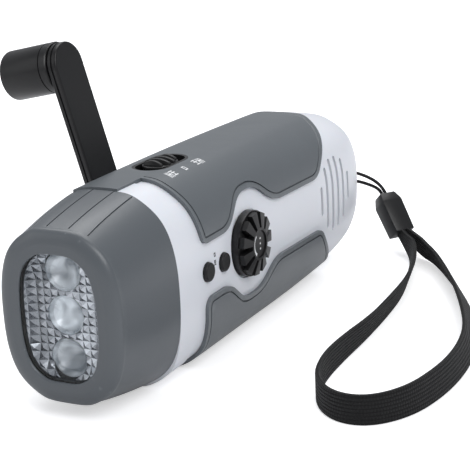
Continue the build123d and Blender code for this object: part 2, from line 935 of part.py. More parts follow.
# cone that gives the ribs their sloping tops
with BuildPart() as dial_rib_cone:
    with Locations(Location((dial_flange_top, *dial_centre), (0, 90, 0))):
        Cone(
            dial_middle_radius + rib_slope * dial_rib_rise,
            dial_middle_radius,
            dial_rib_rise,
            align=(Align.CENTER, Align.CENTER, Align.MIN),
        )

with BuildPart() as dial_rib_row:
    for index in range(dial_ribs):
        spoke = Plane(
            origin=(dial_flange_top, *dial_centre),
            x_dir=(0, cos(2 * pi * index / dial_ribs), sin(2 * pi * index / dial_ribs)),
            z_dir=(1, 0, 0),
        )
        with BuildSketch(spoke):
            with BuildLine():
                Polyline(
                    (dial_middle_radius - 1, -dial_rib_root_width / 2),
                    (dial_rib_tip, -dial_rib_tip_width / 2),
                    (dial_rib_tip, dial_rib_tip_width / 2),
                    (dial_middle_radius - 1, dial_rib_root_width / 2),
                    close=True,
                )
            make_face()
        extrude(amount=dial_rib_rise)
    add(dial_rib_cone.part, mode=Mode.INTERSECT)

with BuildPart() as volume_dial:
    rod(dial_radius, dial_base, dial_flange_top, dial_place)
    add(dial_rib_row.part)
    rod(dial_middle_radius, dial_flange_top, dial_top, dial_place)
    rod(dial_dish_radius, dial_top - dial_dish_depth, dial_top + 1, dial_place, mode=Mode.SUBTRACT)
    rod(dial_shaft, dial_base - dial_shaft_length, dial_base, dial_place)
save(volume_dial.part, "volume_dial")

board_face = board_x + board_thickness
pot_top = dial_base - dial_shaft_length - 0.2
with BuildPart() as potentiometer:
    with Locations((board_face, *dial_centre)):
        Box(pot_top - board_face, 11.0, 12.0, align=(Align.MIN, Align.CENTER, Align.CENTER))
save(potentiometer.part, "potentiometer")

button_top = body_ring(button_distances[1], 0, body_length).half_width + button_rise
button_inner = body_ring(button_distances[1], -shell_wall, body_length).half_width - 0.4
tact_top = board_face + 3.4


def button(name, place):
    """Round button cap with a collar inside the casing and a stem to its switch."""
    with BuildPart() as cap:
        rod(button_radius, button_inner, button_top, [place])
        fillet(cap.edges().group_by(Axis.X)[-1], 0.5)
        rod(button_radius + button_collar, button_inner - button_collar_length, button_inner, [place])
        rod(button_stem, tact_top + button_travel + 0.1, button_inner, [place])
    save(cap.part, name)


button("scan_button", button_places[0])
button("reset_button", button_places[1])

with BuildPart() as button_switches:
    for distance, height in button_places:
        with Locations((board_face, along(distance), height)):
            Box(tact_top - board_face, 6.0, 6.0, align=(Align.MIN, Align.CENTER, Align.CENTER))
save(button_switches.part, "button_switches")

with BuildPart() as main_board:
    side_block((board_x, board_front, board_bottom), (board_face, board_rear, board_top))
    rod(small_screw_shank + 0.1, board_x - 1, board_face + 1, board_screw_places, mode=Mode.SUBTRACT)
save(main_board.part, "main_board")

antenna_x = board_x - antenna_gap - antenna_radius
antenna_centre = Location((antenna_x, along(antenna_distance), antenna_height), (90, 0, 0))
with BuildPart() as ferrite_antenna:
    with Locations(antenna_centre):
        Cylinder(antenna_radius, antenna_length)
save(ferrite_antenna.part, "ferrite_antenna")

clip_offset = antenna_length / 2 - antenna_clip_inset
with BuildPart() as antenna_clips:
    for side in (-1, 1):
        middle = antenna_distance + side * clip_offset
        side_block(
            (antenna_x - 0.6, middle - antenna_clip_width / 2, antenna_height - antenna_radius - 1),
            (board_x, middle + antenna_clip_width / 2, antenna_height + antenna_radius + 1),
        )
    with Locations(antenna_centre):
        Cylinder(antenna_radius, antenna_length, mode=Mode.SUBTRACT)
save(antenna_clips.part, "antenna_clips")

# ---------------------------------------------------------------- speaker
speaker_back = speaker_seat - speaker_depth
cone_rim = speaker_radius - speaker_rim
basket_radius = speaker_radius - speaker_basket_inset
basket_bore = basket_radius - speaker_basket_wall
with BuildPart() as speaker_frame:
    rod(speaker_radius, speaker_seat - 1.6, speaker_seat, speaker_place)
    rod(basket_radius, speaker_back, speaker_seat - 1.6, speaker_place)
    rod(cone_rim, speaker_seat - 1.0, speaker_seat, speaker_place, mode=Mode.SUBTRACT)
    rod(basket_bore, speaker_back + speaker_basket_wall, speaker_seat, speaker_place, mode=Mode.SUBTRACT)
save(speaker_frame.part, "speaker_frame")

# cone drawn as a half profile over its axis: X forward, then away from the axis
cone_surround = speaker_seat - 1.0
cone_bottom = cone_surround - 2.6
speaker_centre = (0, along(speaker_distance), speaker_height)
with BuildPart() as speaker_cone:
    with BuildSketch(Plane(origin=speaker_centre, x_dir=(1, 0, 0), z_dir=(0, -1, 0))):
        with BuildLine():
            Polyline(
                (cone_bottom, 0),
                (cone_bottom, 3.4),
                (cone_surround, basket_bore - 0.4),
                (cone_surround, cone_rim),
                (cone_surround + 0.5, cone_rim),
                (cone_surround + 0.5, basket_bore - 0.6),
                (cone_bottom + 0.6, 3.2),
                (cone_bottom + 1.4, 0),
                close=True,
            )
        make_face()
    revolve(axis=Axis(speaker_centre, (1, 0, 0)))
save(speaker_cone.part, "speaker_cone")

with BuildPart() as speaker_magnet:
    rod(magnet_radius, speaker_back - magnet_thickness, speaker_back, speaker_place)
save(speaker_magnet.part, "speaker_magnet")

# ---------------------------------------------------------------- battery
battery_length = cell_count * cell_length + (cell_count - 1) * cell_gap
with BuildPart() as battery_cells:
    for index in range(cell_count):
        cell_start = battery_front + index * (cell_length + cell_gap)
        with BuildSketch(Plane.XZ.offset(-along(cell_start))):
            with Locations((0, battery_height)):
                Circle(cell_radius)
        extrude(amount=-cell_length)
save(battery_cells.part, "battery_cells")

cradle_radius = cell_radius + cradle_clearance
with BuildPart() as battery_cradle:
    with BuildSketch(Plane.XZ.offset(-along(battery_front - 0.2 - cradle_wall))):
        with Locations((0, battery_height)):
            Circle(cradle_radius + cradle_wall)
    extrude(amount=-(battery_length + 0.4 + 2 * cradle_wall))
    with BuildSketch(Plane.XZ.offset(-along(battery_front - 0.2))):
        with Locations((0, battery_height)):
            Circle(cradle_radius)
    extrude(amount=-(battery_length + 0.4), mode=Mode.SUBTRACT)
    side_block(
        (-rough_length, 0, battery_height + 2.0), (rough_length, rough_length, rough_length),
        mode=Mode.SUBTRACT,
    )
save(battery_cradle.part, "battery_cradle")

# ---------------------------------------------------------------- gear train
def centre_distance(teeth_a, teeth_b):
    """Distance between the axles of two meshed gears."""
    return gear_module * (teeth_a + teeth_b) / 2


def step(place, distance, direction):
    """Place reached from another by a distance in a direction over level."""
    turn = radians(direction)
    return (place[0] + distance * cos(turn), place[1] + distance * sin(turn))


crank_place = hub_place[0]
first_place = step(crank_place, centre_distance(crank_teeth, first_pinion_teeth), first_direction)
second_place = step(first_place, centre_distance(first_wheel_teeth, second_pinion_teeth), second_direction)
rotor_place = step(second_place, centre_distance(second_wheel_teeth, rotor_teeth), rotor_direction)


def involute(angle):
    """Involute function of an angle."""
    return tan(angle) - angle


def tooth_points(teeth, addendum):
    """Corners of one tooth that points along the first axis, root to tip to root."""
    pitch_radius = gear_module * teeth / 2
    base_radius = pitch_radius * cos(radians(pressure_angle))
    root_radius = pitch_radius - dedendum * gear_module
    tip_radius = pitch_radius + addendum * gear_module
    half_tooth = pi / (2 * teeth) - backlash / (2 * pitch_radius)
    start_radius = max(base_radius, root_radius)
    flank = []
    flank_steps = 4
    for index in range(flank_steps + 1):
        radius = start_radius + (tip_radius - start_radius) * index / flank_steps
        flank_turn = involute(acos(min(1.0, base_radius / radius)))
        spread = half_tooth + involute(radians(pressure_angle)) - flank_turn
        flank.append((radius, spread))
    flank.insert(0, (root_radius - 0.1, flank[0][1]))
    upper = [(radius * cos(spread), radius * sin(spread)) for radius, spread in flank]
    lower = [(x, -y) for x, y in reversed(upper)]
    return upper + lower


def gear(teeth, addendum, place, start, direction, gap_first=False):
    """Spur gear on an axle along X, with a tooth, or a gap, pointing in a direction."""
    turn = direction + (180 / teeth if gap_first else 0)
    plane = Plane(
        origin=(start, along(place[0]), place[1]),
        x_dir=(0, cos(radians(turn)), sin(radians(turn))),
        z_dir=(1, 0, 0),
    )
    with BuildSketch(plane, mode=Mode.PRIVATE) as outline:
        Circle(gear_module * (teeth / 2 - dedendum))
        with PolarLocations(0, teeth):
            with BuildLine():
                Polyline(*tooth_points(teeth, addendum), close=True)
            make_face()
    extrude(outline.sketch, amount=gear_width)


with BuildPart() as crank_gear:
    gear(crank_teeth, wheel_addendum, crank_place, gear_layer_one, first_direction)
    rod(crank_shaft_radius, gear_layer_one - 1, gear_layer_one + 4, [crank_place], mode=Mode.SUBTRACT)
save(crank_gear.part, "crank_gear")

with BuildPart() as first_gear:
    gear(
        first_pinion_teeth, pinion_addendum, first_place, gear_layer_one, first_direction + 180,
        gap_first=True,
    )
    gear(first_wheel_teeth, wheel_addendum, first_place, gear_layer_two, second_direction)
    rod(2.0, gear_layer_one + gear_width, gear_layer_two, [first_place])
    rod(
        axle_radius + running_clearance, gear_layer_one - 1, gear_layer_three, [first_place],
        mode=Mode.SUBTRACT,
    )
save(first_gear.part, "first_gear")

with BuildPart() as second_gear:
    gear(
        second_pinion_teeth, pinion_addendum, second_place, gear_layer_two, second_direction + 180,
        gap_first=True,
    )
    gear(second_wheel_teeth, wheel_addendum, second_place, gear_layer_three, rotor_direction)
    rod(1.9, gear_layer_two + gear_width, gear_layer_three, [second_place])
    rod(
        axle_radius + running_clearance, gear_layer_two - 1, inner_plate_x, [second_place],
        mode=Mode.SUBTRACT,
    )
save(second_gear.part, "second_gear")

with BuildPart() as rotor_pinion:
    gear(rotor_teeth, pinion_addendum, rotor_place, gear_layer_three, rotor_direction + 180, gap_first=True)
    rod(rotor_shaft_radius, gear_layer_three - 1, inner_plate_x, [rotor_place], mode=Mode.SUBTRACT)
save(rotor_pinion.part, "rotor_pinion")

stator_front = inner_plate_x + inner_plate_thickness
rotor_start = stator_front + (stator_length - rotor_length) / 2
with BuildPart() as rotor:
    rod(
        rotor_shaft_radius, outer_plate_x + outer_plate_thickness + 2, rotor_start + rotor_length,
        [rotor_place],
    )
    rod(rotor_radius, rotor_start, rotor_start + rotor_length, [rotor_place])
save(rotor.part, "rotor")

with BuildPart() as stator_can:
    rod(stator_radius, stator_front, stator_front + stator_length, [rotor_place])
    rod(
        stator_radius - stator_wall,
        stator_front + stator_wall,
        stator_front + stator_length - stator_wall,
        [rotor_place],
        mode=Mode.SUBTRACT,
    )
    rod(
        rotor_shaft_radius + 0.8, stator_front - 1, stator_front + stator_wall + 1, [rotor_place],
        mode=Mode.SUBTRACT,
    )
save(stator_can.part, "stator_can")

coil_start = stator_front + (stator_length - coil_length) / 2
with BuildPart() as coil:
    rod(stator_radius - stator_wall - 0.1, coil_start, coil_start + coil_length, [rotor_place])
    rod(coil_bore, coil_start - 1, coil_start + coil_length + 1, [rotor_place], mode=Mode.SUBTRACT)
save(coil.part, "coil")

with BuildPart() as gear_axles:
    rod(axle_radius, outer_plate_x, inner_plate_x + inner_plate_thickness, [first_place, second_place])
save(gear_axles.part, "gear_axles")

plate_corners = list(gear_plate_posts) + [first_place, second_place]


def gear_plate(start, thickness, extra_places):
    """Flat plate that spans the posts and the axles."""
    with BuildSketch(Plane.YZ.offset(start), mode=Mode.PRIVATE) as outline:
        with Locations(*[(along(distance), height) for distance, height in plate_corners + extra_places]):
            Circle(plate_margin)
        make_hull()
    extrude(outline.sketch, amount=thickness)


with BuildPart() as gear_plate_outer:
    gear_plate(outer_plate_x, outer_plate_thickness, [])
    rod(crank_shaft_radius + 0.4, outer_plate_x - 1, 0, hub_place, mode=Mode.SUBTRACT)
    rod(axle_radius, outer_plate_x - 1, 0, [first_place, second_place], mode=Mode.SUBTRACT)
    rod(small_screw_shank + 0.1, outer_plate_x - 1, 0, gear_plate_posts, mode=Mode.SUBTRACT)
save(gear_plate_outer.part, "gear_plate_outer")

with BuildPart() as gear_plate_inner:
    gear_plate(inner_plate_x, inner_plate_thickness, [rotor_place])
    rod(gear_post_radius, outer_plate_x + outer_plate_thickness, inner_plate_x, gear_plate_posts)
    rod(crank_shaft_radius + running_clearance, inner_plate_x - 1, 0, hub_place, mode=Mode.SUBTRACT)
    rod(axle_radius, inner_plate_x - 1, 0, [first_place, second_place], mode=Mode.SUBTRACT)
    rod(rotor_shaft_radius + running_clearance, inner_plate_x - 1, 0, [rotor_place], mode=Mode.SUBTRACT)
    rod(small_screw_shank + 0.1, outer_plate_x, 0, gear_plate_posts, mode=Mode.SUBTRACT)
save(gear_plate_inner.part, "gear_plate_inner")

plate_back = inner_plate_x + inner_plate_thickness
with BuildPart() as frame_screws:
    rod(small_screw_shank, outer_plate_x - 2.6, plate_back, gear_plate_posts)
    rod(small_screw_head, plate_back, plate_back + small_screw_head_height, gear_plate_posts)
save(frame_screws.part, "frame_screws")

# ---------------------------------------------------------------- crank
hub_centre = Vector(-hub_face, along(hub_distance), hub_height)
lean = radians(crank_lean)
up_axis = Vector(0, -sin(lean), cos(lean))
width_axis = Vector(0, cos(lean), sin(lean))
out_axis = Vector(-1, 0, 0)
pin_centre = hub_centre + out_axis * hinge_out + up_axis * hinge_up
tilt = radians(arm_tilt)
arm_axis = up_axis * cos(tilt) + out_axis * sin(tilt)
knob_axis = out_axis * cos(tilt) - up_axis * sin(tilt)
hinge_plane = Plane(origin=pin_centre, x_dir=up_axis, z_dir=width_axis)
arm_plane = Plane(origin=pin_centre, x_dir=-width_axis, z_dir=knob_axis)
knob_plane = Plane(origin=pin_centre + arm_axis * arm_reach, x_dir=-width_axis, z_dir=knob_axis)


def round_bar(plane, radius, start, stop, mode=Mode.ADD):
    """Round bar on a plane's axis between two heights over it."""
    with BuildSketch(plane.offset(start), mode=Mode.PRIVATE) as section:
        Circle(radius)
    extrude(section.sketch, amount=stop - start, mode=mode)


stud_start = stud_cover - arm_thickness / 2
ear_start = arm_tongue_width / 2 + ear_clearance
pin_half_length = ear_start + ear_thickness

with BuildPart() as crank_shaft:
    rod(crank_shaft_radius, -(hub_seat + hub_clearance), plate_back - 0.2, hub_place)
save(crank_shaft.part, "crank_shaft")

with BuildPart() as crank_hub:
    rod(hub_radius, -hub_face, -(hub_seat + hub_clearance), hub_place)
    fillet(crank_hub.edges().group_by(Axis.X)[0], 0.8)
    for side in (1, -1):
        start = ear_start if side > 0 else -ear_start - ear_thickness
        with BuildSketch(hinge_plane.offset(start), mode=Mode.PRIVATE) as ear:
            Circle(ear_radius)
            with BuildLine():
                Polyline(
                    (-ear_radius, 0),
                    (ear_radius, 0),
                    (ear_radius, hinge_out + 0.6),
                    (-ear_radius, hinge_out + 0.6),
                    close=True,
                )
            make_face()
        extrude(ear.sketch, amount=ear_thickness)
    round_bar(hinge_plane, hinge_radius, -pin_half_length, pin_half_length, mode=Mode.SUBTRACT)
save(crank_hub.part, "crank_hub")

with BuildPart() as hinge_pin:
    round_bar(hinge_plane, hinge_radius, -pin_half_length, pin_half_length)
save(hinge_pin.part, "hinge_pin")



def arm_bar(inset, thickness, mode=Mode.ADD):
    """Straight bar with a round end at the knob, drawn in all round and centred in the arm's thickness."""
    half_width = arm_width / 2 - inset
    with BuildSketch(arm_plane.offset(-thickness / 2), mode=Mode.PRIVATE) as outline:
        with Locations((0, arm_reach)):
            Circle(half_width)
        with Locations((0, (arm_shoulder + arm_reach) / 2)):
            Rectangle(2 * half_width, arm_reach - arm_shoulder)
    extrude(outline.sketch, amount=thickness, mode=mode)


# cutter for the groove along the arm's edge
with BuildPart() as arm_groove:
    arm_bar(-1, arm_groove_width)
    arm_bar(arm_groove_depth, arm_groove_width, mode=Mode.SUBTRACT)

with BuildPart() as crank_arm:
    arm_bar(0, arm_thickness)
    fillet(crank_arm.edges().filter_by(GeomType.LINE).filter_by(lambda edge: edge.length > 20), 0.6)
    add(arm_groove.part, mode=Mode.SUBTRACT)
    with BuildSketch(arm_plane.offset(-arm_thickness / 2)):
        with Locations((0, arm_shoulder / 2 + 0.5)):
            Rectangle(arm_tongue_width, arm_shoulder + 1)
    extrude(amount=arm_thickness)
    round_bar(hinge_plane, arm_thickness / 2, -arm_tongue_width / 2, arm_tongue_width / 2)
    round_bar(hinge_plane, hinge_radius + running_clearance, -20, 20, mode=Mode.SUBTRACT)
    round_bar(knob_plane, stud_radius, stud_start, arm_thickness, mode=Mode.SUBTRACT)
save(crank_arm.part, "crank_arm")

knob_start = arm_thickness / 2 + knob_gap
knob_end = knob_start + knob_length
stud_end = knob_end - knob_screw_depth
with BuildPart() as knob_stud:
    round_bar(knob_plane, stud_radius, stud_start, stud_end)
    round_bar(
        knob_plane, knob_screw_shank + screw_pilot_clearance, stud_end - 7, stud_end, mode=Mode.SUBTRACT
    )
save(knob_stud.part, "knob_stud")

with BuildPart() as crank_knob:
    round_bar(knob_plane, knob_radius, knob_start + knob_collar, knob_end)
    fillet(crank_knob.edges().filter_by(GeomType.CIRCLE), 0.7)
    round_bar(knob_plane, knob_collar_radius, knob_start, knob_start + knob_collar + 1)
    round_bar(knob_plane, stud_radius + running_clearance, -20, 40, mode=Mode.SUBTRACT)
    round_bar(knob_plane, knob_screw_bore, stud_end - 0.2, knob_end + 1, mode=Mode.SUBTRACT)
save(crank_knob.part, "crank_knob")

with BuildPart() as knob_screw:
    round_bar(knob_plane, knob_screw_head, stud_end, stud_end + 1.6)
    round_bar(knob_plane, knob_screw_shank, stud_end - 6, stud_end)
save(knob_screw.part, "knob_screw")

# ---------------------------------------------------------------- lanyard
with BuildPart() as lanyard_bar:
    rod(
        lanyard_bar_radius,
        lanyard_x - pocket_width / 2 - 1.0,
        lanyard_x + pocket_width / 2 + 1.0,
        [(bar_distance, lanyard_height)],
    )
save(lanyard_bar.part, "lanyard_bar")


def route_radii(points):
    """Radius of the arc at each inner point: as large as its two runs allow."""
    radii = []
    for before, here, after in zip(points, points[1:], points[2:]):
        run_in = Vector(*here) - Vector(*before)
        run_out = Vector(*after) - Vector(*here)
        half_turn = radians(run_in.get_angle(run_out) / 2)
        radii.append(0.45 * min(run_in.length, run_out.length) / tan(half_turn))
    return radii


cord_points = [(x, along(distance), z) for x, distance, z in cord_route]
cord_radii = route_radii(cord_points)
with BuildPart() as lanyard_cord:
    with BuildLine() as cord_path:
        FilletPolyline(*cord_points, radius=cord_radii)
    with BuildSketch(Plane(origin=cord_path.line @ 0, z_dir=cord_path.line % 0)):
        Circle(cord_radius)
    sweep()
save(lanyard_cord.part, "lanyard_cord")
cord_length = sum(edge.length for edge in cord_path.edges())
print("cord length", round(cord_length, 1), "radii", [round(radius, 1) for radius in cord_radii])
cord_ideal_volume = pi * cord_radius**2 * cord_length
print("cord volume over section times length", round(lanyard_cord.part.volume / cord_ideal_volume, 4))

strap_points = [(x, along(distance)) for x, distance in strap_route]
strap_radii = route_radii([(x, y, 0) for x, y in strap_points])
with BuildPart() as wrist_strap:
    with BuildLine() as strap_path:
        FilletPolyline(*strap_points, radius=strap_radii)
    with BuildSketch():
        trace(strap_path.line, line_width=strap_thickness)
    extrude(amount=strap_width)
save(wrist_strap.part, "wrist_strap")
strap_length = sum(edge.length for edge in strap_path.edges())
print("strap length", round(strap_length, 1), "radii", [round(radius, 1) for radius in strap_radii])

bead_top_point = Vector(bead_top_place[0], along(bead_top_place[1]), bead_top_place[2])
bead_foot_point = Vector(bead_foot_place[0], along(bead_foot_place[1]), bead_foot_place[2])
bead_axis = (bead_foot_point - bead_top_point).normalized()
bead_side = bead_axis.cross(Vector(0, 0, 1)).normalized()
with BuildPart() as strap_slot:
    with BuildSketch():
        trace(strap_path.line, line_width=strap_thickness + 2 * slot_clearance)
    extrude(amount=strap_width + slot_clearance)

with BuildPart() as cord_slider:
    sections = []
    for share, width_share in ((0.0, bead_top_share), (0.3, 1.0), (1.0, bead_foot_share)):
        centre = bead_top_point + bead_axis * (bead_length * share)
        ring_plane = Plane(origin=centre, x_dir=bead_side, z_dir=bead_axis)
        with BuildSketch(ring_plane, mode=Mode.PRIVATE) as section:
            Rectangle(bead_width * width_share, bead_depth * width_share)
        sections.append(section.sketch.face())
    loft(sections=sections, ruled=True)
    add(strap_slot.part, mode=Mode.SUBTRACT)
save(cord_slider.part, "cord_slider")
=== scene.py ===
"""Looks of a hand crank flashlight with a radio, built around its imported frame.

Sizes are millimetres in the classes and metres in the meshes. Places along the torch are distances behind
the crease between bezel and head, as the frame has them.
"""

import json
import logging
import math
from dataclasses import dataclass
from enum import Enum
from typing import Sequence

import bmesh
import bpy
from mathutils import Matrix, Vector
from mathutils.bvhtree import BVHTree


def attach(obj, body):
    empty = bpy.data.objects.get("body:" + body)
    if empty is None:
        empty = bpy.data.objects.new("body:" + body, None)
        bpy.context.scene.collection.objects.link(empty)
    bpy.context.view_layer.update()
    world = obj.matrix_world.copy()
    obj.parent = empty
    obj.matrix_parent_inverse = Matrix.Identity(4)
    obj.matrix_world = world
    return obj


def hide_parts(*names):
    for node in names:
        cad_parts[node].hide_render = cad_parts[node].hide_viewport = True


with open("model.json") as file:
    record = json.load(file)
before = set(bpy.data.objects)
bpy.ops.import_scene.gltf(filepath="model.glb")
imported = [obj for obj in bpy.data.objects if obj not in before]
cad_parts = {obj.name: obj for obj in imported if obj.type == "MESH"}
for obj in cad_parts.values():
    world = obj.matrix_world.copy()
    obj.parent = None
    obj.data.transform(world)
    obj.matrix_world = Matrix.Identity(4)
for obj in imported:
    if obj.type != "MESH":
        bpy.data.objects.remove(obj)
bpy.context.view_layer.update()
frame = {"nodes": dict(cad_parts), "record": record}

LOG = logging.getLogger("torch")
MM = 0.001
CREASE_Y = -78.0
AXIS_HEIGHT = 26.9


def along(distance: float) -> float:
    """Y in millimetres of a place that lies this far behind the crease.

    Args:
        distance: Distance behind the crease line, in millimetres.

    Returns:
        The Y coordinate in millimetres.
    """
    return CREASE_Y + distance


# ---------------------------------------------------------------- shader groups
def new_group(name: str, inputs: Sequence[tuple], outputs: Sequence[tuple]) -> bpy.types.NodeTree:
    """Make an empty shader group with typed sockets.

    Args:
        name: Name of the group.
        inputs: Name, socket type and default value of each input.
        outputs: Name and socket type of each output.

    Returns:
        The node tree, with its group input and output nodes in place.
    """
    tree = bpy.data.node_groups.new(name, "ShaderNodeTree")
    for label, kind, value in inputs:
        socket = tree.interface.new_socket(label, in_out="INPUT", socket_type=kind)
        socket.default_value = value
    for label, kind in outputs:
        tree.interface.new_socket(label, in_out="OUTPUT", socket_type=kind)
    tree.nodes.new("NodeGroupInput")
    tree.nodes.new("NodeGroupOutput")
    return tree


def node_in(tree: bpy.types.NodeTree, kind: str, **settings) -> bpy.types.Node:
    """Add a node and set its plain properties.

    Args:
        tree: Tree to add it to.
        kind: Node type.
        **settings: Properties of the node.

    Returns:
        The new node.
    """
    node = tree.nodes.new(kind)
    for key, value in settings.items():
        setattr(node, key, value)
    return node


def math_node(tree: bpy.types.NodeTree, operation: str, first, second=None) -> bpy.types.NodeSocket:
    """Add a math node whose inputs are sockets or numbers.

    Args:
        tree: Tree to add it to.
        operation: Name of the math operation.
        first: First input.
        second: Second input, or None.

    Returns:
        The node's output socket.
    """
    node = node_in(tree, "ShaderNodeMath", operation=operation)
    for index, value in enumerate((first, second)):
        if value is None:
            continue
        if isinstance(value, (int, float)):
            node.inputs[index].default_value = value
        else:
            tree.links.new(value, node.inputs[index])
    return node.outputs[0]


def grain_group() -> bpy.types.NodeTree:
    """Spark-eroded grain of moulded plastic: a fine height, and a soft cloudy mask for colour and gloss."""
    tree = new_group(
        "moulded_grain",
        [("Vector", "NodeSocketVector", (0, 0, 0)), ("Grain Scale", "NodeSocketFloat", 1800.0)],
        [("Height", "NodeSocketFloat"), ("Cloud", "NodeSocketFloat")],
    )
    source = tree.nodes["Group Input"]
    target = tree.nodes["Group Output"]
    fine = node_in(tree, "ShaderNodeTexNoise")
    fine.inputs["Detail"].default_value = 3.0
    fine.inputs["Roughness"].default_value = 0.6
    tree.links.new(source.outputs["Vector"], fine.inputs["Vector"])
    tree.links.new(source.outputs["Grain Scale"], fine.inputs["Scale"])
    cloud = node_in(tree, "ShaderNodeTexNoise")
    cloud.inputs["Scale"].default_value = 55.0
    cloud.inputs["Detail"].default_value = 5.0
    tree.links.new(source.outputs["Vector"], cloud.inputs["Vector"])
    tree.links.new(fine.outputs["Fac"], target.inputs["Height"])
    tree.links.new(cloud.outputs["Fac"], target.inputs["Cloud"])
    return tree


def wear_group() -> bpy.types.NodeTree:
    """Handling marks: a mask that is high on edges that stick out, broken up by a noise."""
    tree = new_group(
        "edge_wear",
        [("Vector", "NodeSocketVector", (0, 0, 0)), ("Start", "NodeSocketFloat", 0.54)],
        [("Mask", "NodeSocketFloat")],
    )
    source = tree.nodes["Group Input"]
    target = tree.nodes["Group Output"]
    geometry = node_in(tree, "ShaderNodeNewGeometry")
    noise = node_in(tree, "ShaderNodeTexNoise")
    noise.inputs["Scale"].default_value = 900.0
    noise.inputs["Detail"].default_value = 4.0
    tree.links.new(source.outputs["Vector"], noise.inputs["Vector"])
    over = math_node(tree, "SUBTRACT", geometry.outputs["Pointiness"], source.outputs["Start"])
    strong = math_node(tree, "MULTIPLY", over, 9.0)
    broken = math_node(tree, "MULTIPLY", strong, noise.outputs["Fac"])
    clamp = node_in(tree, "ShaderNodeClamp")
    tree.links.new(broken, clamp.inputs["Value"])
    tree.links.new(clamp.outputs["Result"], target.inputs["Mask"])
    return tree


def weave_group() -> bpy.types.NodeTree:
    """Woven webbing on the piece's own UV map: ribs along it, broken into short stitches across it."""
    tree = new_group(
        "webbing_weave",
        [
            ("Vector", "NodeSocketVector", (0, 0, 0)),
            ("Ribs", "NodeSocketFloat", 9.0),
            ("Stitches", "NodeSocketFloat", 330.0),
        ],
        [("Height", "NodeSocketFloat"), ("Shade", "NodeSocketFloat")],
    )
    source = tree.nodes["Group Input"]
    target = tree.nodes["Group Output"]
    parts = node_in(tree, "ShaderNodeSeparateXYZ")
    tree.links.new(source.outputs["Vector"], parts.inputs[0])
    full_turn = 2 * math.pi
    across = math_node(tree, "MULTIPLY", parts.outputs["Y"], source.outputs["Ribs"])
    rib = math_node(tree, "SINE", math_node(tree, "MULTIPLY", across, full_turn))
    row = math_node(tree, "MULTIPLY", math_node(tree, "FLOOR", across), 0.5)
    length = math_node(tree, "MULTIPLY", parts.outputs["X"], source.outputs["Stitches"])
    shifted = math_node(tree, "ADD", length, row)
    stitch = math_node(tree, "SINE", math_node(tree, "MULTIPLY", shifted, full_turn))
    both = math_node(tree, "ADD", math_node(tree, "ABSOLUTE", rib), math_node(tree, "MULTIPLY", stitch, 0.12))
    noise = node_in(tree, "ShaderNodeTexNoise")
    noise.inputs["Scale"].default_value = 60.0
    tree.links.new(source.outputs["Vector"], noise.inputs["Vector"])
    shade = math_node(tree, "MULTIPLY", both, noise.outputs["Fac"])
    tree.links.new(both, target.inputs["Height"])
    tree.links.new(shade, target.inputs["Shade"])
    return tree


GROUPS = {"grain": grain_group(), "wear": wear_group(), "weave": weave_group()}


# ---------------------------------------------------------------- finishes
@dataclass(frozen=True)
class PlasticFinish:
    """Moulded plastic with a fine grain, a slight cloudiness and lighter edges."""

    name: str
    colour: tuple[float, float, float]
    cloud_colour: tuple[float, float, float]
    edge_colour: tuple[float, float, float]
    roughness: float = 0.5
    roughness_spread: float = 0.08
    grain_scale: float = 1800.0
    grain_depth: float = 0.00002
    coat: float = 0.0
    specular: float = 0.5
    subsurface: float = 0.0
    wear_start: float = 0.54

    def make(self) -> bpy.types.Material:
        """Build the material.

        Returns:
            A node material on Object coordinates.
        """
        material, tree, shader = new_material(self.name)
        place = node_in(tree, "ShaderNodeTexCoord").outputs["Object"]
        grain = node_in(tree, "ShaderNodeGroup", node_tree=GROUPS["grain"])
        grain.inputs["Grain Scale"].default_value = self.grain_scale
        tree.links.new(place, grain.inputs["Vector"])
        wear = node_in(tree, "ShaderNodeGroup", node_tree=GROUPS["wear"])
        wear.inputs["Start"].default_value = self.wear_start
        tree.links.new(place, wear.inputs["Vector"])
        clouded = mix_colour(tree, grain.outputs["Cloud"], self.colour, self.cloud_colour)
        worn = mix_colour(tree, wear.outputs["Mask"], clouded, self.edge_colour)
        tree.links.new(worn, shader.inputs["Base Color"])
        spread = node_in(tree, "ShaderNodeMapRange")
        spread.inputs["To Min"].default_value = self.roughness - self.roughness_spread
        spread.inputs["To Max"].default_value = self.roughness + self.roughness_spread
        tree.links.new(grain.outputs["Cloud"], spread.inputs["Value"])
        tree.links.new(spread.outputs["Result"], shader.inputs["Roughness"])
        bump = node_in(tree, "ShaderNodeBump")
        bump.inputs["Distance"].default_value = self.grain_depth
        tree.links.new(grain.outputs["Height"], bump.inputs["Height"])
        tree.links.new(bump.outputs["Normal"], shader.inputs["Normal"])
        shader.inputs["Specular IOR Level"].default_value = self.specular
        shader.inputs["Coat Weight"].default_value = self.coat
        shader.inputs["Coat Roughness"].default_value = 0.12
        shader.inputs["Subsurface Weight"].default_value = self.subsurface
        shader.inputs["Subsurface Scale"].default_value = 0.002
        return material


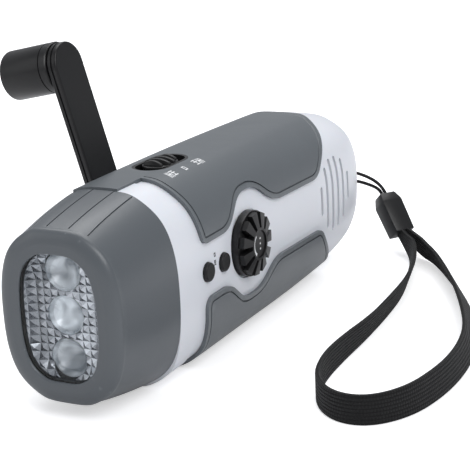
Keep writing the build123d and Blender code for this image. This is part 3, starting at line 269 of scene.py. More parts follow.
@dataclass(frozen=True)
class MetalFinish:
    """Metal with a fine uneven polish."""

    name: str
    colour: tuple[float, float, float]
    dull_colour: tuple[float, float, float]
    roughness: float = 0.25
    scale: float = 700.0
    depth: float = 0.000008

    def make(self) -> bpy.types.Material:
        """Build the material.

        Returns:
            A node material on Object coordinates.
        """
        material, tree, shader = new_material(self.name)
        place = node_in(tree, "ShaderNodeTexCoord").outputs["Object"]
        grain = node_in(tree, "ShaderNodeGroup", node_tree=GROUPS["grain"])
        grain.inputs["Grain Scale"].default_value = self.scale
        tree.links.new(place, grain.inputs["Vector"])
        colour = mix_colour(tree, grain.outputs["Cloud"], self.colour, self.dull_colour)
        tree.links.new(colour, shader.inputs["Base Color"])
        spread = node_in(tree, "ShaderNodeMapRange")
        spread.inputs["To Min"].default_value = self.roughness * 0.7
        spread.inputs["To Max"].default_value = self.roughness * 1.3
        tree.links.new(grain.outputs["Height"], spread.inputs["Value"])
        tree.links.new(spread.outputs["Result"], shader.inputs["Roughness"])
        bump = node_in(tree, "ShaderNodeBump")
        bump.inputs["Distance"].default_value = self.depth
        tree.links.new(grain.outputs["Height"], bump.inputs["Height"])
        tree.links.new(bump.outputs["Normal"], shader.inputs["Normal"])
        shader.inputs["Metallic"].default_value = 1.0
        return material


@dataclass(frozen=True)
class ClearFinish:
    """Clear moulded plastic or epoxy that lets light through and mirrors more at a slant."""

    name: str
    tint: tuple[float, float, float]
    haze: float = 0.03
    gloss: float = 0.04
    edge_power: float = 4.0
    edge_cover: float = 0.7
    ripple: float = 0.00002

    def make(self) -> bpy.types.Material:
        """Build the material.

        Returns:
            A mostly transparent node material with a faint ripple.
        """
        material, tree, shader = new_material(self.name)
        place = node_in(tree, "ShaderNodeTexCoord").outputs["Object"]
        noise = node_in(tree, "ShaderNodeTexNoise")
        noise.inputs["Scale"].default_value = 160.0
        tree.links.new(place, noise.inputs["Vector"])
        bump = node_in(tree, "ShaderNodeBump")
        bump.inputs["Distance"].default_value = self.ripple
        tree.links.new(noise.outputs["Fac"], bump.inputs["Height"])
        tree.links.new(bump.outputs["Normal"], shader.inputs["Normal"])
        slant = node_in(tree, "ShaderNodeLayerWeight")
        slant.inputs["Blend"].default_value = 0.5
        edge = math_node(tree, "POWER", slant.outputs["Facing"], self.edge_power)
        cover = math_node(tree, "ADD", math_node(tree, "MULTIPLY", edge, self.edge_cover), self.haze)
        tree.links.new(cover, shader.inputs["Alpha"])
        shader.inputs["Base Color"].default_value = (*self.tint, 1.0)
        shader.inputs["Metallic"].default_value = 1.0
        shader.inputs["Roughness"].default_value = self.gloss
        return material


@dataclass(frozen=True)
class FacetFinish:
    """Silvered facets whose colour holds painted shade: each facet's own painted shade, and a painted
    reflection that makes them brighter towards the dial's side.
    """

    name: str
    # colours of a facet in full painted shade and of a facet in full painted light
    dark: tuple[float, float, float]
    bright: tuple[float, float, float]
    roughness: float = 0.22
    reach: tuple[float, float] = (-8.0, 7.0)
    painted_dim_share: float = 0.5

    def make(self) -> bpy.types.Material:
        """Build the material.

        Returns:
            A metallic node material on Object coordinates and the facets' painted shade attribute.
        """
        material, tree, shader = new_material(self.name)
        place = node_in(tree, "ShaderNodeTexCoord").outputs["Object"]
        parts = node_in(tree, "ShaderNodeSeparateXYZ")
        tree.links.new(place, parts.inputs[0])
        # painted reflection: the colour brightens across X, dim at the far side and full towards the dial's
        # side
        ramp = node_in(tree, "ShaderNodeMapRange")
        ramp.inputs["From Min"].default_value = self.reach[0] * MM
        ramp.inputs["From Max"].default_value = self.reach[1] * MM
        ramp.inputs["To Min"].default_value = self.painted_dim_share
        tree.links.new(parts.outputs["X"], ramp.inputs["Value"])
        # painted shade of each facet, stored in the mesh by the way the facet faces
        facet = node_in(tree, "ShaderNodeAttribute", attribute_name="shade")
        shade = math_node(tree, "MULTIPLY", facet.outputs["Fac"], ramp.outputs["Result"])
        colour = mix_colour(tree, shade, self.dark, self.bright)
        tree.links.new(colour, shader.inputs["Base Color"])
        shader.inputs["Metallic"].default_value = 0.6
        shader.inputs["Roughness"].default_value = self.roughness
        return material


@dataclass(frozen=True)
class PaintedSwirlFinish:
    """Pale lamp cup with painted reflections: soft painted swirls of light and shade that stand in for what
    the dome refracts.
    """

    name: str
    # colours of the painted shade and the painted light in the swirls
    shade: tuple[float, float, float]
    light: tuple[float, float, float]
    scale: float = 170.0

    def make(self) -> bpy.types.Material:
        """Build the material.

        Returns:
            A node material on Object coordinates.
        """
        material, tree, shader = new_material(self.name)
        place = node_in(tree, "ShaderNodeTexCoord").outputs["Object"]
        # painted light and shade: a cloudy noise lays out the swirls
        noise = node_in(tree, "ShaderNodeTexNoise")
        noise.inputs["Scale"].default_value = self.scale
        noise.inputs["Detail"].default_value = 1.5
        noise.inputs["Distortion"].default_value = 0.8
        tree.links.new(place, noise.inputs["Vector"])
        ramp = node_in(tree, "ShaderNodeMapRange")
        ramp.inputs["From Min"].default_value = 0.36
        ramp.inputs["From Max"].default_value = 0.64
        tree.links.new(noise.outputs["Fac"], ramp.inputs["Value"])
        colour = mix_colour(tree, ramp.outputs["Result"], self.shade, self.light)
        tree.links.new(colour, shader.inputs["Base Color"])
        shader.inputs["Metallic"].default_value = 0.1
        shader.inputs["Roughness"].default_value = 0.2
        return material


@dataclass(frozen=True)
class WebbingFinish:
    """Dark woven textile on the piece's UV map."""

    name: str
    colour: tuple[float, float, float]
    thread_colour: tuple[float, float, float]
    ribs: float
    stitches: float
    depth: float
    roughness: float = 0.75

    def make(self) -> bpy.types.Material:
        """Build the material.

        Returns:
            A woven node material.
        """
        material, tree, shader = new_material(self.name)
        place = node_in(tree, "ShaderNodeTexCoord").outputs["UV"]
        weave = node_in(tree, "ShaderNodeGroup", node_tree=GROUPS["weave"])
        weave.inputs["Ribs"].default_value = self.ribs
        weave.inputs["Stitches"].default_value = self.stitches
        tree.links.new(place, weave.inputs["Vector"])
        colour = mix_colour(tree, weave.outputs["Shade"], self.colour, self.thread_colour)
        tree.links.new(colour, shader.inputs["Base Color"])
        bump = node_in(tree, "ShaderNodeBump")
        bump.inputs["Distance"].default_value = self.depth
        tree.links.new(weave.outputs["Height"], bump.inputs["Height"])
        tree.links.new(bump.outputs["Normal"], shader.inputs["Normal"])
        shader.inputs["Roughness"].default_value = self.roughness
        shader.inputs["Specular IOR Level"].default_value = 0.25
        shader.inputs["Sheen Weight"].default_value = 0.04
        return material


def new_material(name: str) -> tuple[bpy.types.Material, bpy.types.NodeTree, bpy.types.Node]:
    """Start a node material.

    Args:
        name: Name of the material.

    Returns:
        The material, its node tree and its Principled shader.
    """
    material = bpy.data.materials.new(name)
    material.use_nodes = True
    tree = material.node_tree
    return material, tree, tree.nodes["Principled BSDF"]


def mix_colour(tree: bpy.types.NodeTree, factor, first, second) -> bpy.types.NodeSocket:
    """Mix two colours by a mask.

    Args:
        tree: Tree to add the node to.
        factor: Socket with the mask.
        first: Colour, or a colour socket, where the mask is 0.
        second: Colour, or a colour socket, where the mask is 1.

    Returns:
        The mixed colour socket.
    """
    mix = node_in(tree, "ShaderNodeMix", data_type="RGBA")
    tree.links.new(factor, mix.inputs["Factor"])
    for socket, value in ((mix.inputs[6], first), (mix.inputs[7], second)):
        if isinstance(value, tuple):
            socket.default_value = (*value, 1.0)
        else:
            tree.links.new(value, socket)
    return mix.outputs[2]


FINISHES = {
    "white_shell": PlasticFinish(
        "white_casing_plastic", (0.68, 0.70, 0.745), (0.65, 0.67, 0.715), (0.74, 0.76, 0.80),
        roughness=0.34, roughness_spread=0.04, grain_depth=0.000004, coat=0.12, subsurface=0.04,
        wear_start=0.6,
    ),
    "grey_casing": PlasticFinish(
        "grey_head_plastic", (0.088, 0.098, 0.108), (0.080, 0.090, 0.100), (0.15, 0.165, 0.178),
        roughness=0.36, specular=0.5, grain_depth=0.00001,
    ),
    "grey_grip": PlasticFinish(
        "grey_grip_plastic", (0.100, 0.112, 0.122), (0.090, 0.101, 0.111), (0.165, 0.18, 0.193),
        roughness=0.35, specular=0.5, grain_depth=0.00001,
    ),
    "black_plastic": PlasticFinish(
        "black_fitting_plastic", (0.007, 0.007, 0.0075), (0.011, 0.011, 0.0115), (0.035, 0.035, 0.036),
        roughness=0.34, specular=0.3, grain_depth=0.00001,
    ),
    "clear_window": ClearFinish("clear_window_plastic", (0.95, 0.98, 1.0), haze=0.012),
    "soft_seal": PlasticFinish(
        "black_seal_rubber", (0.02, 0.02, 0.02), (0.03, 0.03, 0.03), (0.05, 0.05, 0.05), roughness=0.7
    ),
    # painted shade and painted reflection on the tray's facets
    "silvered_tray": FacetFinish("silvered_facets_painted_shade", (0.035, 0.042, 0.055), (0.82, 0.87, 0.93)),
    "lamp_dome": ClearFinish(
        "lamp_epoxy", (0.92, 0.97, 1.0), haze=0.05, gloss=0.02, edge_power=2.0, edge_cover=0.8
    ),
    "circuit_board": PlasticFinish(
        "green_board_lacquer", (0.02, 0.13, 0.05), (0.03, 0.16, 0.07), (0.30, 0.26, 0.12),
        roughness=0.3, coat=0.4,
    ),
    "plated_steel": MetalFinish("plated_steel_polish", (0.56, 0.55, 0.53), (0.46, 0.45, 0.44)),
    "switch_metal": MetalFinish("pressed_can_metal", (0.58, 0.59, 0.60), (0.50, 0.51, 0.52), roughness=0.35),
    "gear_nylon": PlasticFinish(
        "gear_nylon_resin", (0.72, 0.70, 0.62), (0.68, 0.66, 0.58), (0.80, 0.78, 0.70),
        roughness=0.42, subsurface=0.1,
    ),
    "pinion_brass": MetalFinish("pinion_cut_brass", (0.68, 0.48, 0.18), (0.58, 0.40, 0.15), roughness=0.3),
    "ferrite": PlasticFinish(
        "dark_ferrite", (0.045, 0.045, 0.05), (0.06, 0.06, 0.065), (0.09, 0.09, 0.09), roughness=0.55
    ),
    "copper_wire": MetalFinish("enamelled_copper", (0.55, 0.22, 0.08), (0.45, 0.17, 0.06), roughness=0.35),
    "cell_steel": MetalFinish("bright_cell_steel", (0.64, 0.64, 0.62), (0.55, 0.55, 0.54), roughness=0.18),
    "cone_paper": PlasticFinish(
        "dark_cone_pulp", (0.03, 0.03, 0.032), (0.045, 0.045, 0.045), (0.07, 0.07, 0.07), roughness=0.85,
        grain_depth=0.00006,
    ),
    "black_cord": WebbingFinish(
        "braided_cord_thread", (0.006, 0.006, 0.007), (0.02, 0.02, 0.022),
        ribs=4.0, stitches=90.0, depth=0.00008,
    ),
    "black_webbing": WebbingFinish(
        "woven_strap_thread", (0.003, 0.003, 0.0035), (0.012, 0.012, 0.013),
        ribs=9.0, stitches=380.0, depth=0.0005,
    ),
    # painted reflections: swirls of light and shade on the lamp cups
    "lamp_cup": PaintedSwirlFinish("lamp_cup_painted_swirls", (0.20, 0.23, 0.26), (0.86, 0.92, 0.97)),
    "louvre_cloth": PlasticFinish(
        "louvre_cloth_weave", (0.55, 0.56, 0.60), (0.48, 0.49, 0.53), (0.6, 0.6, 0.6), roughness=0.9,
        grain_scale=3000.0, grain_depth=0.00005,
    ),
    "white_ink": PlasticFinish(
        "white_printing_ink", (0.78, 0.79, 0.80), (0.70, 0.71, 0.72), (0.8, 0.8, 0.8), roughness=0.5
    ),
    "dark_ink": PlasticFinish(
        "dark_printing_ink", (0.03, 0.03, 0.035), (0.05, 0.05, 0.055), (0.06, 0.06, 0.06), roughness=0.5
    ),
}
MATERIALS: dict[str, bpy.types.Material] = {}


def finish_of(slot: str) -> bpy.types.Material:
    """Material of one of the record's slots, made once.

    Args:
        slot: Name of the material slot.

    Returns:
        The material.
    """
    if slot not in MATERIALS:
        MATERIALS[slot] = FINISHES[slot].make()
    return MATERIALS[slot]


# ---------------------------------------------------------------- mesh helpers
def piece_from(
    name: str, mesh: bmesh.types.BMesh, slot: str, body: str, smooth_angle: float = 35.0, finish: str = ""
) -> bpy.types.Object:
    """Turn a bmesh in metres into a dressed piece that rides on a body.

    Args:
        name: Name of the piece.
        mesh: The shape, which is freed.
        slot: Material slot that it takes its finish from.
        body: Body that it moves with.
        smooth_angle: Edges under this angle, in degrees, are shaded smooth.
        finish: Name of a finish of its own, where the slot's finish isn't the right one.

    Returns:
        The new object.
    """
    data = bpy.data.meshes.new(name)
    for face in mesh.faces:
        face.smooth = True
    for edge in mesh.edges:
        if len(edge.link_faces) == 2 and edge.calc_face_angle() > math.radians(smooth_angle):
            edge.smooth = False
    mesh.to_mesh(data)
    mesh.free()
    piece = bpy.data.objects.new(name, data)
    bpy.context.collection.objects.link(piece)
    data.materials.append(finish_of(finish or slot))
    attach(piece, body)
    return piece


def tidy_normals(mesh: bmesh.types.BMesh, gap: float = 1e-7) -> None:
    """Merge doubles and point every face outwards.

    Args:
        mesh: The shape.
        gap: Largest distance between points that become one.
    """
    bmesh.ops.remove_doubles(mesh, verts=mesh.verts, dist=gap)
    bmesh.ops.recalc_face_normals(mesh, faces=mesh.faces)


def prism(mesh: bmesh.types.BMesh, rings: Sequence[Sequence[bmesh.types.BMVert]]) -> None:
    """Join rings of points with faces and close the first and the last one.

    Args:
        mesh: Mesh that the points are in.
        rings: Closed rings with the same number of points.
    """
    for first, second in zip(rings, rings[1:]):
        for index in range(len(first)):
            following = (index + 1) % len(first)
            mesh.faces.new((first[index], first[following], second[following], second[index]))
    mesh.faces.new(rings[0])
    mesh.faces.new(list(reversed(rings[-1])))


def face_towards(mesh: bmesh.types.BMesh, out: Vector) -> None:
    """Flip the faces of a flat print that point the wrong way.

    Args:
        mesh: The print.
        out: Way that its faces should point.
    """
    for face in mesh.faces:
        face.normal_update()
        if face.normal.dot(out) < 0:
            face.normal_flip()


# ---------------------------------------------------------------- camera and light
@dataclass
class Studio:
    """Camera at the photograph's angle, soft light and a pale floor."""

    azimuth: float = 27.18
    elevation: float = 16.57
    roll: float = -2.74
    place: tuple[float, float, float] = (187.5, -348.2, 142.9)
    lens: float = 107.15
    surround_strength: float = 0.44
    floor_size: float = 3.0
    floor_colour: tuple[float, float, float] = (0.86, 0.86, 0.87)
    floor_lift: float = 0.5

    def add_camera(self) -> None:
        """Make the camera, turned by its azimuth, elevation and roll."""
        a, e, r = (math.radians(turn) for turn in (self.azimuth, self.elevation, self.roll))
        back = Vector((math.sin(a) * math.cos(e), -math.cos(a) * math.cos(e), math.sin(e)))
        level = Vector((math.cos(a), math.sin(a), 0.0))
        right = level * math.cos(r) + back.cross(level) * math.sin(r)
        up = back.cross(right)
        data = bpy.data.cameras.new("camera")
        data.lens = self.lens
        data.sensor_width = 36.0
        data.clip_start = 0.01
        camera = bpy.data.objects.new("camera", data)
        bpy.context.collection.objects.link(camera)
        turned = Matrix((right, up, back)).transposed().to_4x4()
        camera.matrix_world = Matrix.Translation(Vector(self.place) * MM) @ turned
        bpy.context.scene.camera = camera

    def add_lamp(self, name: str, place: tuple, target: tuple, size: float, power: float) -> None:
        """Add a square area lamp.

        Args:
            name: Name of the lamp.
            place: Where it stands, in metres.
            target: Point that it faces, in metres.
            size: Side length, in metres.
            power: Power, in watts.
        """
        data = bpy.data.lights.new(name, "AREA")
        data.shape = "SQUARE"
        data.size = size
        data.energy = power
        lamp = bpy.data.objects.new(name, data)
        lamp.location = place
        lamp.rotation_mode = "QUATERNION"
        lamp.rotation_quaternion = (Vector(target) - Vector(place)).to_track_quat("-Z", "Y")
        bpy.context.collection.objects.link(lamp)

    def add_world(self) -> None:
        """Pale surround that shows white behind the object and in its reflections."""
        world = bpy.data.worlds.new("surround")
        bpy.context.scene.world = world
        world.use_nodes = True
        tree = world.node_tree
        background = tree.nodes["Background"]
        background.inputs["Color"].default_value = (0.93, 0.95, 1.0, 1.0)
        rays = node_in(tree, "ShaderNodeLightPath")
        seen = math_node(tree, "MAXIMUM", rays.outputs["Is Camera Ray"], rays.outputs["Is Transmission Ray"])
        level = node_in(tree, "ShaderNodeMapRange")
        level.inputs["To Min"].default_value = self.surround_strength
        level.inputs["To Max"].default_value = 1.0
        tree.links.new(seen, level.inputs["Value"])
        tree.links.new(level.outputs["Result"], background.inputs["Strength"])

    def add_floor(self) -> None:
        """Flat pale floor that keeps the object's shadow."""
        mesh = bmesh.new()
        bmesh.ops.create_grid(mesh, x_segments=1, y_segments=1, size=self.floor_size)
        data = bpy.data.meshes.new("floor")
        mesh.to_mesh(data)
        mesh.free()
        floor = bpy.data.objects.new("floor", data)
        bpy.context.collection.objects.link(floor)
        material, tree, shader = new_material("pale_floor")
        shader.inputs["Base Color"].default_value = (*self.floor_colour, 1.0)
        shader.inputs["Roughness"].default_value = 0.9
        shader.inputs["Specular IOR Level"].default_value = 0.1
        rays = node_in(tree, "ShaderNodeLightPath")
        seen = math_node(tree, "MAXIMUM", rays.outputs["Is Camera Ray"], rays.outputs["Is Transmission Ray"])
        lift = math_node(tree, "MULTIPLY", seen, self.floor_lift)
        shader.inputs["Emission Color"].default_value = (1.0, 1.0, 1.0, 1.0)
        tree.links.new(lift, shader.inputs["Emission Strength"])
        data.materials.append(material)

    def build(self) -> None:
        """Make everything that isn't the object."""
        self.add_camera()
        self.add_world()
        self.add_floor()
        self.add_lamp("key", (0.75, -0.45, 0.85), (0.0, 0.0, 0.02), 0.7, 7.5)
        self.add_lamp("top", (-0.25, 0.45, 1.1), (0.0, 0.0, 0.0), 1.0, 10.0)
        self.add_lamp("left", (-0.9, -0.7, 0.5), (0.0, 0.0, 0.03), 0.8, 1.6)
        bpy.context.scene.view_settings.view_transform = "Standard"


# ---------------------------------------------------------------- lanyard
def smooth_line(name: str, points: Sequence[Vector], resolution: int) -> bpy.types.Object:
    """Smooth open curve that is drawn towards its points.

    Args:
        name: Name of the curve.
        points: Route points in metres.
        resolution: Steps between two points.

    Returns:
        The curve object, with no thickness.
    """
    data = bpy.data.curves.new(name, "CURVE")
    data.dimensions = "3D"
    spline = data.splines.new("NURBS")
    spline.points.add(len(points) - 1)
    for point, place in zip(spline.points, points):
        point.co = (*place, 1.0)
    spline.order_u = 3
    spline.use_endpoint_u = True
    spline.resolution_u = resolution
    line = bpy.data.objects.new(name, data)
    bpy.context.collection.objects.link(line)
    return line


def points_of(line: bpy.types.Object) -> list[Vector]:
    """Points along a curve that has no thickness.

    Args:
        line: The curve object.

    Returns:
        Its points in order, in metres.
    """
    bpy.context.view_layer.update()
    data = bpy.data.meshes.new_from_object(line)
    places = [vertex.co.copy() for vertex in data.vertices]
    bpy.data.meshes.remove(data)
    return places


@dataclass
class Lanyard:
    """Thin doubled cord, the bead that it runs into, and the flat strap that lies on the floor."""

    cord_radius: float = 0.55
    cord_route: tuple = (
        (24.35, 160.65, 18.7),
        (22.9, 161.7, 20.6),
        (18.9, 162.9, 22.9),
        (13.6, 162.0, 25.0),
        (9.3, 158.6, 26.2),
        (9.0, 150.9, 26.2),
        (9.0, 150.9, 22.8),
        (9.4, 158.4, 22.8),
        (13.4, 161.6, 22.3),
        (18.4, 162.9, 20.7),
        (21.8, 162.4, 19.4),
        (23.2, 161.45, 17.37),
    )
    strap_width: float = 8.0
    strap_thickness: float = 1.2
    strap_route: tuple = (
        (30.6, 155.2, 8.2),
        (35.0, 151.6, 5.2),
        (39.8, 144.8, 4.2),
        (44.6, 129.0, 4.0),
        (48.6, 111.0, 4.0),
        (50.1, 93.0, 4.0),
        (50.9, 75.0, 4.0),
        (50.2, 58.0, 4.0),
        (50.7, 43.0, 4.0),
        (54.2, 29.5, 4.0),
        (62.0, 21.0, 4.0),
        (71.5, 20.6, 4.0),
        (79.0, 30.0, 4.0),
        (82.2, 45.0, 4.0),
        (82.6, 60.0, 4.0),
        (80.4, 76.0, 4.0),
        (74.5, 93.0, 4.0),
        (67.0, 110.0, 4.0),
        (57.6, 127.0, 4.0),
        (47.6, 143.0, 4.1),
        (37.4, 153.4, 5.0),
        (31.8, 156.6, 8.2),
    )
    lean_table: tuple = (
        (0.0, 0.0), (0.12, -20.0), (0.25, -16.0), (0.38, 0.0), (0.45, 0.0),
        (0.58, -14.0), (0.78, -32.0), (0.93, -22.0), (1.0, 0.0),
    )
    gathered_share: float = 0.45
    gathered_length: float = 13.0
    face_steps: int = 12
    edge_steps: int = 6
    bead_top: tuple = (23.8, 161.0, 18.0)
    bead_foot: tuple = (32.4, 155.0, 6.3)
    bead_length: float = 15.0
    bead_size: tuple = (7.6, 6.4)
    bead_shares: tuple = ((0.0, 0.74), (0.22, 1.0), (1.0, 0.95))
    bead_edge: float = 0.38

    def in_metres(self, route: Sequence[tuple[float, float, float]]) -> list[Vector]:
        """Places in metres from X, distance and height in millimetres.

        Args:
            route: The places.

        Returns:
            The same places as vectors.
        """
        return [Vector((x, along(distance), z)) * MM for x, distance, z in route]

    def add_cord(self) -> bpy.types.Object:
        """Make the thin cord as one smooth curve.

        Returns:
            The curve.
        """
        points = self.in_metres(self.cord_route)
        cord = smooth_line("thin_cord", points, resolution=12)
        path = points_of(cord)
        cord.data.bevel_depth = self.cord_radius * MM
        cord.data.bevel_resolution = 5
        cord.data.use_fill_caps = True
        cord.data.materials.append(finish_of("black_cord"))
        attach(cord, "casing")
        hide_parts("lanyard_cord")
        return cord

    def section(self) -> list[tuple[float, float, float]]:
        """Outline of the strap: two flat faces joined by round edges.

        Returns:
            For each point, its share of the way round, its place through the thickness and up the width.
        """
        radius = self.strap_thickness / 2
        flat = self.strap_width / 2 - radius
        points = []
        for side in (1, -1):
            for step in range(self.face_steps):
                points.append((side * radius, side * flat * (2 * step / self.face_steps - 1)))
            for step in range(self.edge_steps):
                turn = math.pi * step / self.edge_steps
                points.append((side * radius * math.cos(turn), side * (flat + radius * math.sin(turn))))
        points.append(points[0])
        runs = [math.dist(a, b) for a, b in zip(points, points[1:])]
        shares = [sum(runs[:index]) / sum(runs) for index in range(len(points))]
        return [(share, *point) for share, point in zip(shares, points)]

    def lean_at(self, share: float) -> float:
        """How far the strap leans over from upright.

        Args:
            share: Share of the strap's length.

        Returns:
            The angle in radians.
        """
        for (start, first), (stop, second) in zip(self.lean_table, self.lean_table[1:]):
            if share <= stop:
                part = (share - start) / (stop - start)
                smooth = part * part * (3 - 2 * part)
                return math.radians(first + (second - first) * smooth)
        return 0.0

    def add_strap(self) -> bpy.types.Object:
        """Make the webbing: a flat band on its edge, gathered where it goes into the bead.

        Returns:
            The strap.
        """
        line = smooth_line("strap_line", self.in_metres(self.strap_route), resolution=14)
        path = points_of(line)
        bpy.data.objects.remove(line)
        runs = [(b - a).length for a, b in zip(path, path[1:])]
        length = sum(runs)
        section = self.section()
        up = Vector((0, 0, 1))
        mesh = bmesh.new()
        layer = mesh.loops.layers.uv.new("UVMap")
        rings = []
        for index, place in enumerate(path):
            before, after = path[max(0, index - 1)], path[min(len(path) - 1, index + 1)]
            side = (after - before).cross(up).normalized()
            travelled = sum(runs[:index])
            near_end = min(1.0, min(travelled, length - travelled) / (self.gathered_length * MM))
            width = self.gathered_share + (1 - self.gathered_share) * near_end
            lean = self.lean_at(travelled / length)
            wide = up * math.cos(lean) + side * math.sin(lean)
            thick = side * math.cos(lean) - up * math.sin(lean)
            ring = []
            for _, across, rise in section[:-1]:
                ring.append(mesh.verts.new(place + (thick * across + wide * rise * width) * MM))
            rings.append((travelled / length, ring))
        count = len(section) - 1
        for (start, first), (stop, second) in zip(rings, rings[1:]):
            for index in range(count):
                following = (index + 1) % count
                face = mesh.faces.new((first[index], first[following], second[following], second[index]))
                low, high = section[index][0], section[index + 1][0]
                for loop, uv in zip(face.loops, ((start, low), (start, high), (stop, high), (stop, low))):
                    loop[layer].uv = uv
        mesh.faces.new(rings[0][1])
        mesh.faces.new(list(reversed(rings[-1][1])))
        bmesh.ops.recalc_face_normals(mesh, faces=mesh.faces)
        strap = piece_from("webbing_strap", mesh, "black_webbing", "casing", smooth_angle=60.0)
        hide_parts("wrist_strap")
        return strap

    def add_bead(self) -> bpy.types.Object:
        """Make the moulded bead with chamfered edges.

        Returns:
            The bead.
        """
        top, foot = self.in_metres((self.bead_top, self.bead_foot))
        axis = (foot - top).normalized()
        side = axis.cross(Vector((0, 0, 1))).normalized()
        depth = axis.cross(side)
        mesh = bmesh.new()
        rings = []
        for share, size in self.bead_shares:
            centre = top + axis * (self.bead_length * share * MM)
            half_side, half_depth = (value * size * MM / 2 for value in self.bead_size)
            corners = ((1, 1), (-1, 1), (-1, -1), (1, -1))
            spread = [side * (a * half_side) + depth * (b * half_depth) for a, b in corners]
            rings.append([mesh.verts.new(centre + reach) for reach in spread])
        prism(mesh, rings)
        bmesh.ops.recalc_face_normals(mesh, faces=mesh.faces)
        bmesh.ops.bevel(
            mesh, geom=mesh.edges[:], offset=self.bead_edge * MM, affect="EDGES", segments=2, profile=0.5,
            material=-1,
        )
        bead = piece_from("moulded_bead", mesh, "black_plastic", "casing")
        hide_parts("cord_slider")
        return bead

    def build(self) -> None:
        """Make the cord, the strap and the bead."""
        cord = self.add_cord()
        strap = self.add_strap()
        bead = self.add_bead()
        LOG.info("lanyard: %s, %s and %s", cord.name, strap.name, bead.name)


# ---------------------------------------------------------------- the torch's own pieces
@dataclass
class LampTray:
    """Faceted silvered tray behind the window, with painted shade on its facets, and the three lamps that
    stand in it.
    """

    half_width: float = 11.1
    half_height: float = 16.5
    power: float = 2.9
    mouth: float = -0.36
    floor: float = 1.6
    wall_share: float = 0.84
    facet_pitch: float = 2.1
    facet_height: float = 0.75
    # painted shade of the diamonds' top, left, bottom and right facets
    painted_side_shades: tuple = (0.70, 0.12, 0.02, 0.62)
    lamp_radius: float = 5.1
    lamp_gap: float = 0.12
    lamp_spacing: float = 11.4
    dome_tip: float = -0.5
    dome_rise: float = 2.0
    cup_depth: float = 3.2
    cup_floor_radius: float = 1.2

    def lamp_heights(self) -> tuple[float, float, float]:
        """Heights of the lamps' centres over the floor, in millimetres."""
        return (AXIS_HEIGHT + self.lamp_spacing, AXIS_HEIGHT, AXIS_HEIGHT - self.lamp_spacing)

    def reach(self, x: float, z: float) -> float:
        """How far out a place is, as a share of the tray's outline.

        Args:
            x: Place across, in millimetres.
            z: Place up from the torch's axis, in millimetres.

        Returns:
            0 in the middle and 1 on the outline.
        """
        across = (abs(x) / self.half_width) ** self.power
        upward = (abs(z) / self.half_height) ** self.power
        return (across + upward) ** (1 / self.power)

    def settled(self, x: float, z: float) -> tuple[float, float]:
        """Move a lattice place onto the outline or onto a lamp's edge where it lies past one of them.

        Args:
            x: Place across, in millimetres.
            z: Place up from the axis, in millimetres.

        Returns:
            The place to use.
        """
        out = self.reach(x, z)
        if out > 1:
            return x / out, z / out
        edge = self.lamp_radius + self.lamp_gap
        for height in self.lamp_heights():
            rise = z - (height - AXIS_HEIGHT)
            away = math.hypot(x, rise)
            if away < edge:
                scale = edge / max(away, 0.01)
                return x * scale, z - rise + rise * scale
        return x, z

    def is_open(self, x: float, z: float) -> bool:
        """Whether a place is inside the outline and clear of the lamps."""
        edge = self.lamp_radius + self.lamp_gap
        clear = all(math.hypot(x, z - (height - AXIS_HEIGHT)) >= edge for height in self.lamp_heights())
        return clear and self.reach(x, z) <= 1

    def painted_facet_shade(self, column: int, row: int, side: int) -> float:
        """Painted shade of one facet: set by the way its side of the diamond faces the light, with a small
        change from diamond to diamond.

        Args:
            column: Lattice column of the diamond.
            row: Lattice row of the diamond.
            side: Number of the facet, from 0 to 3.

        Returns:
            0 for the darkest facet and 1 for the brightest.
        """
        change = ((column * 7 + row * 13 + side * 5) % 9) / 8 - 0.5
        return min(1.0, max(0.0, self.painted_side_shades[side] + 0.35 * change))

    def corner(self, mesh: bmesh.types.BMesh, column: int, row: int) -> bmesh.types.BMVert:
        """Lattice corner or facet tip on the tray's surface.

        Args:
            mesh: Mesh that gets the point.
            column: Lattice column.
            row: Lattice row; a tip where it and the column are both odd.

        Returns:
            The new point.
        """
        step = self.facet_pitch / 2
        x, z = self.settled(column * step, row * step)
        out = self.reach(x, z)
        wall = max(0.0, (out - self.wall_share) / (1 - self.wall_share))
        depth = self.floor + (self.mouth - self.floor) * wall
        if column % 2 and row % 2 and self.is_open(column * step, row * step):
            depth -= self.facet_height * (1 - 0.6 * wall)
        return mesh.verts.new(Vector((x, along(depth), AXIS_HEIGHT + z)) * MM)

    def add_tray(self) -> bpy.types.Object:
        """Make the tray out of four-sided facets, each carrying its painted shade.

        Returns:
            The tray.
        """
        mesh = bmesh.new()
        step = self.facet_pitch / 2
        columns = math.ceil(self.half_width / step) + 1
        rows = math.ceil(self.half_height / step) + 1
        corners = {}
        for column in range(-columns, columns + 1):
            for row in range(-rows, rows + 1):
                corners[column, row] = self.corner(mesh, column, row)
        # painted shade: each facet's colour share, by the side of the diamond it lies on
        painted_shade_layer = mesh.loops.layers.float_color.new("shade")
        for column, row in list(corners):
            if column % 2 == 0 or row % 2 == 0:
                continue
            ring = ((1, 1), (-1, 1), (-1, -1), (1, -1))
            for side, ((a, b), (c, d)) in enumerate(zip(ring, ring[1:] + ring[:1])):
                places = ((column, row), (column + a, row + b), (column + c, row + d))
                seen = [self.is_open(x * step, z * step) for x, z in places]
                if any(seen) and all(place in corners for place in places):
                    face = mesh.faces.new([corners[place] for place in places])
                    shade = self.painted_facet_shade(column, row, side)
                    for loop in face.loops:
                        loop[painted_shade_layer] = (shade, shade, shade, 1.0)
        loose = [vertex for vertex in mesh.verts if not vertex.link_faces]
        bmesh.ops.delete(mesh, geom=loose, context="VERTS")
        bmesh.ops.dissolve_degenerate(mesh, edges=mesh.edges, dist=1e-6)
        bmesh.ops.recalc_face_normals(mesh, faces=mesh.faces)
        tray = piece_from("faceted_tray", mesh, "silvered_tray", "casing", smooth_angle=1.0)
        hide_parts("reflector")
        return tray

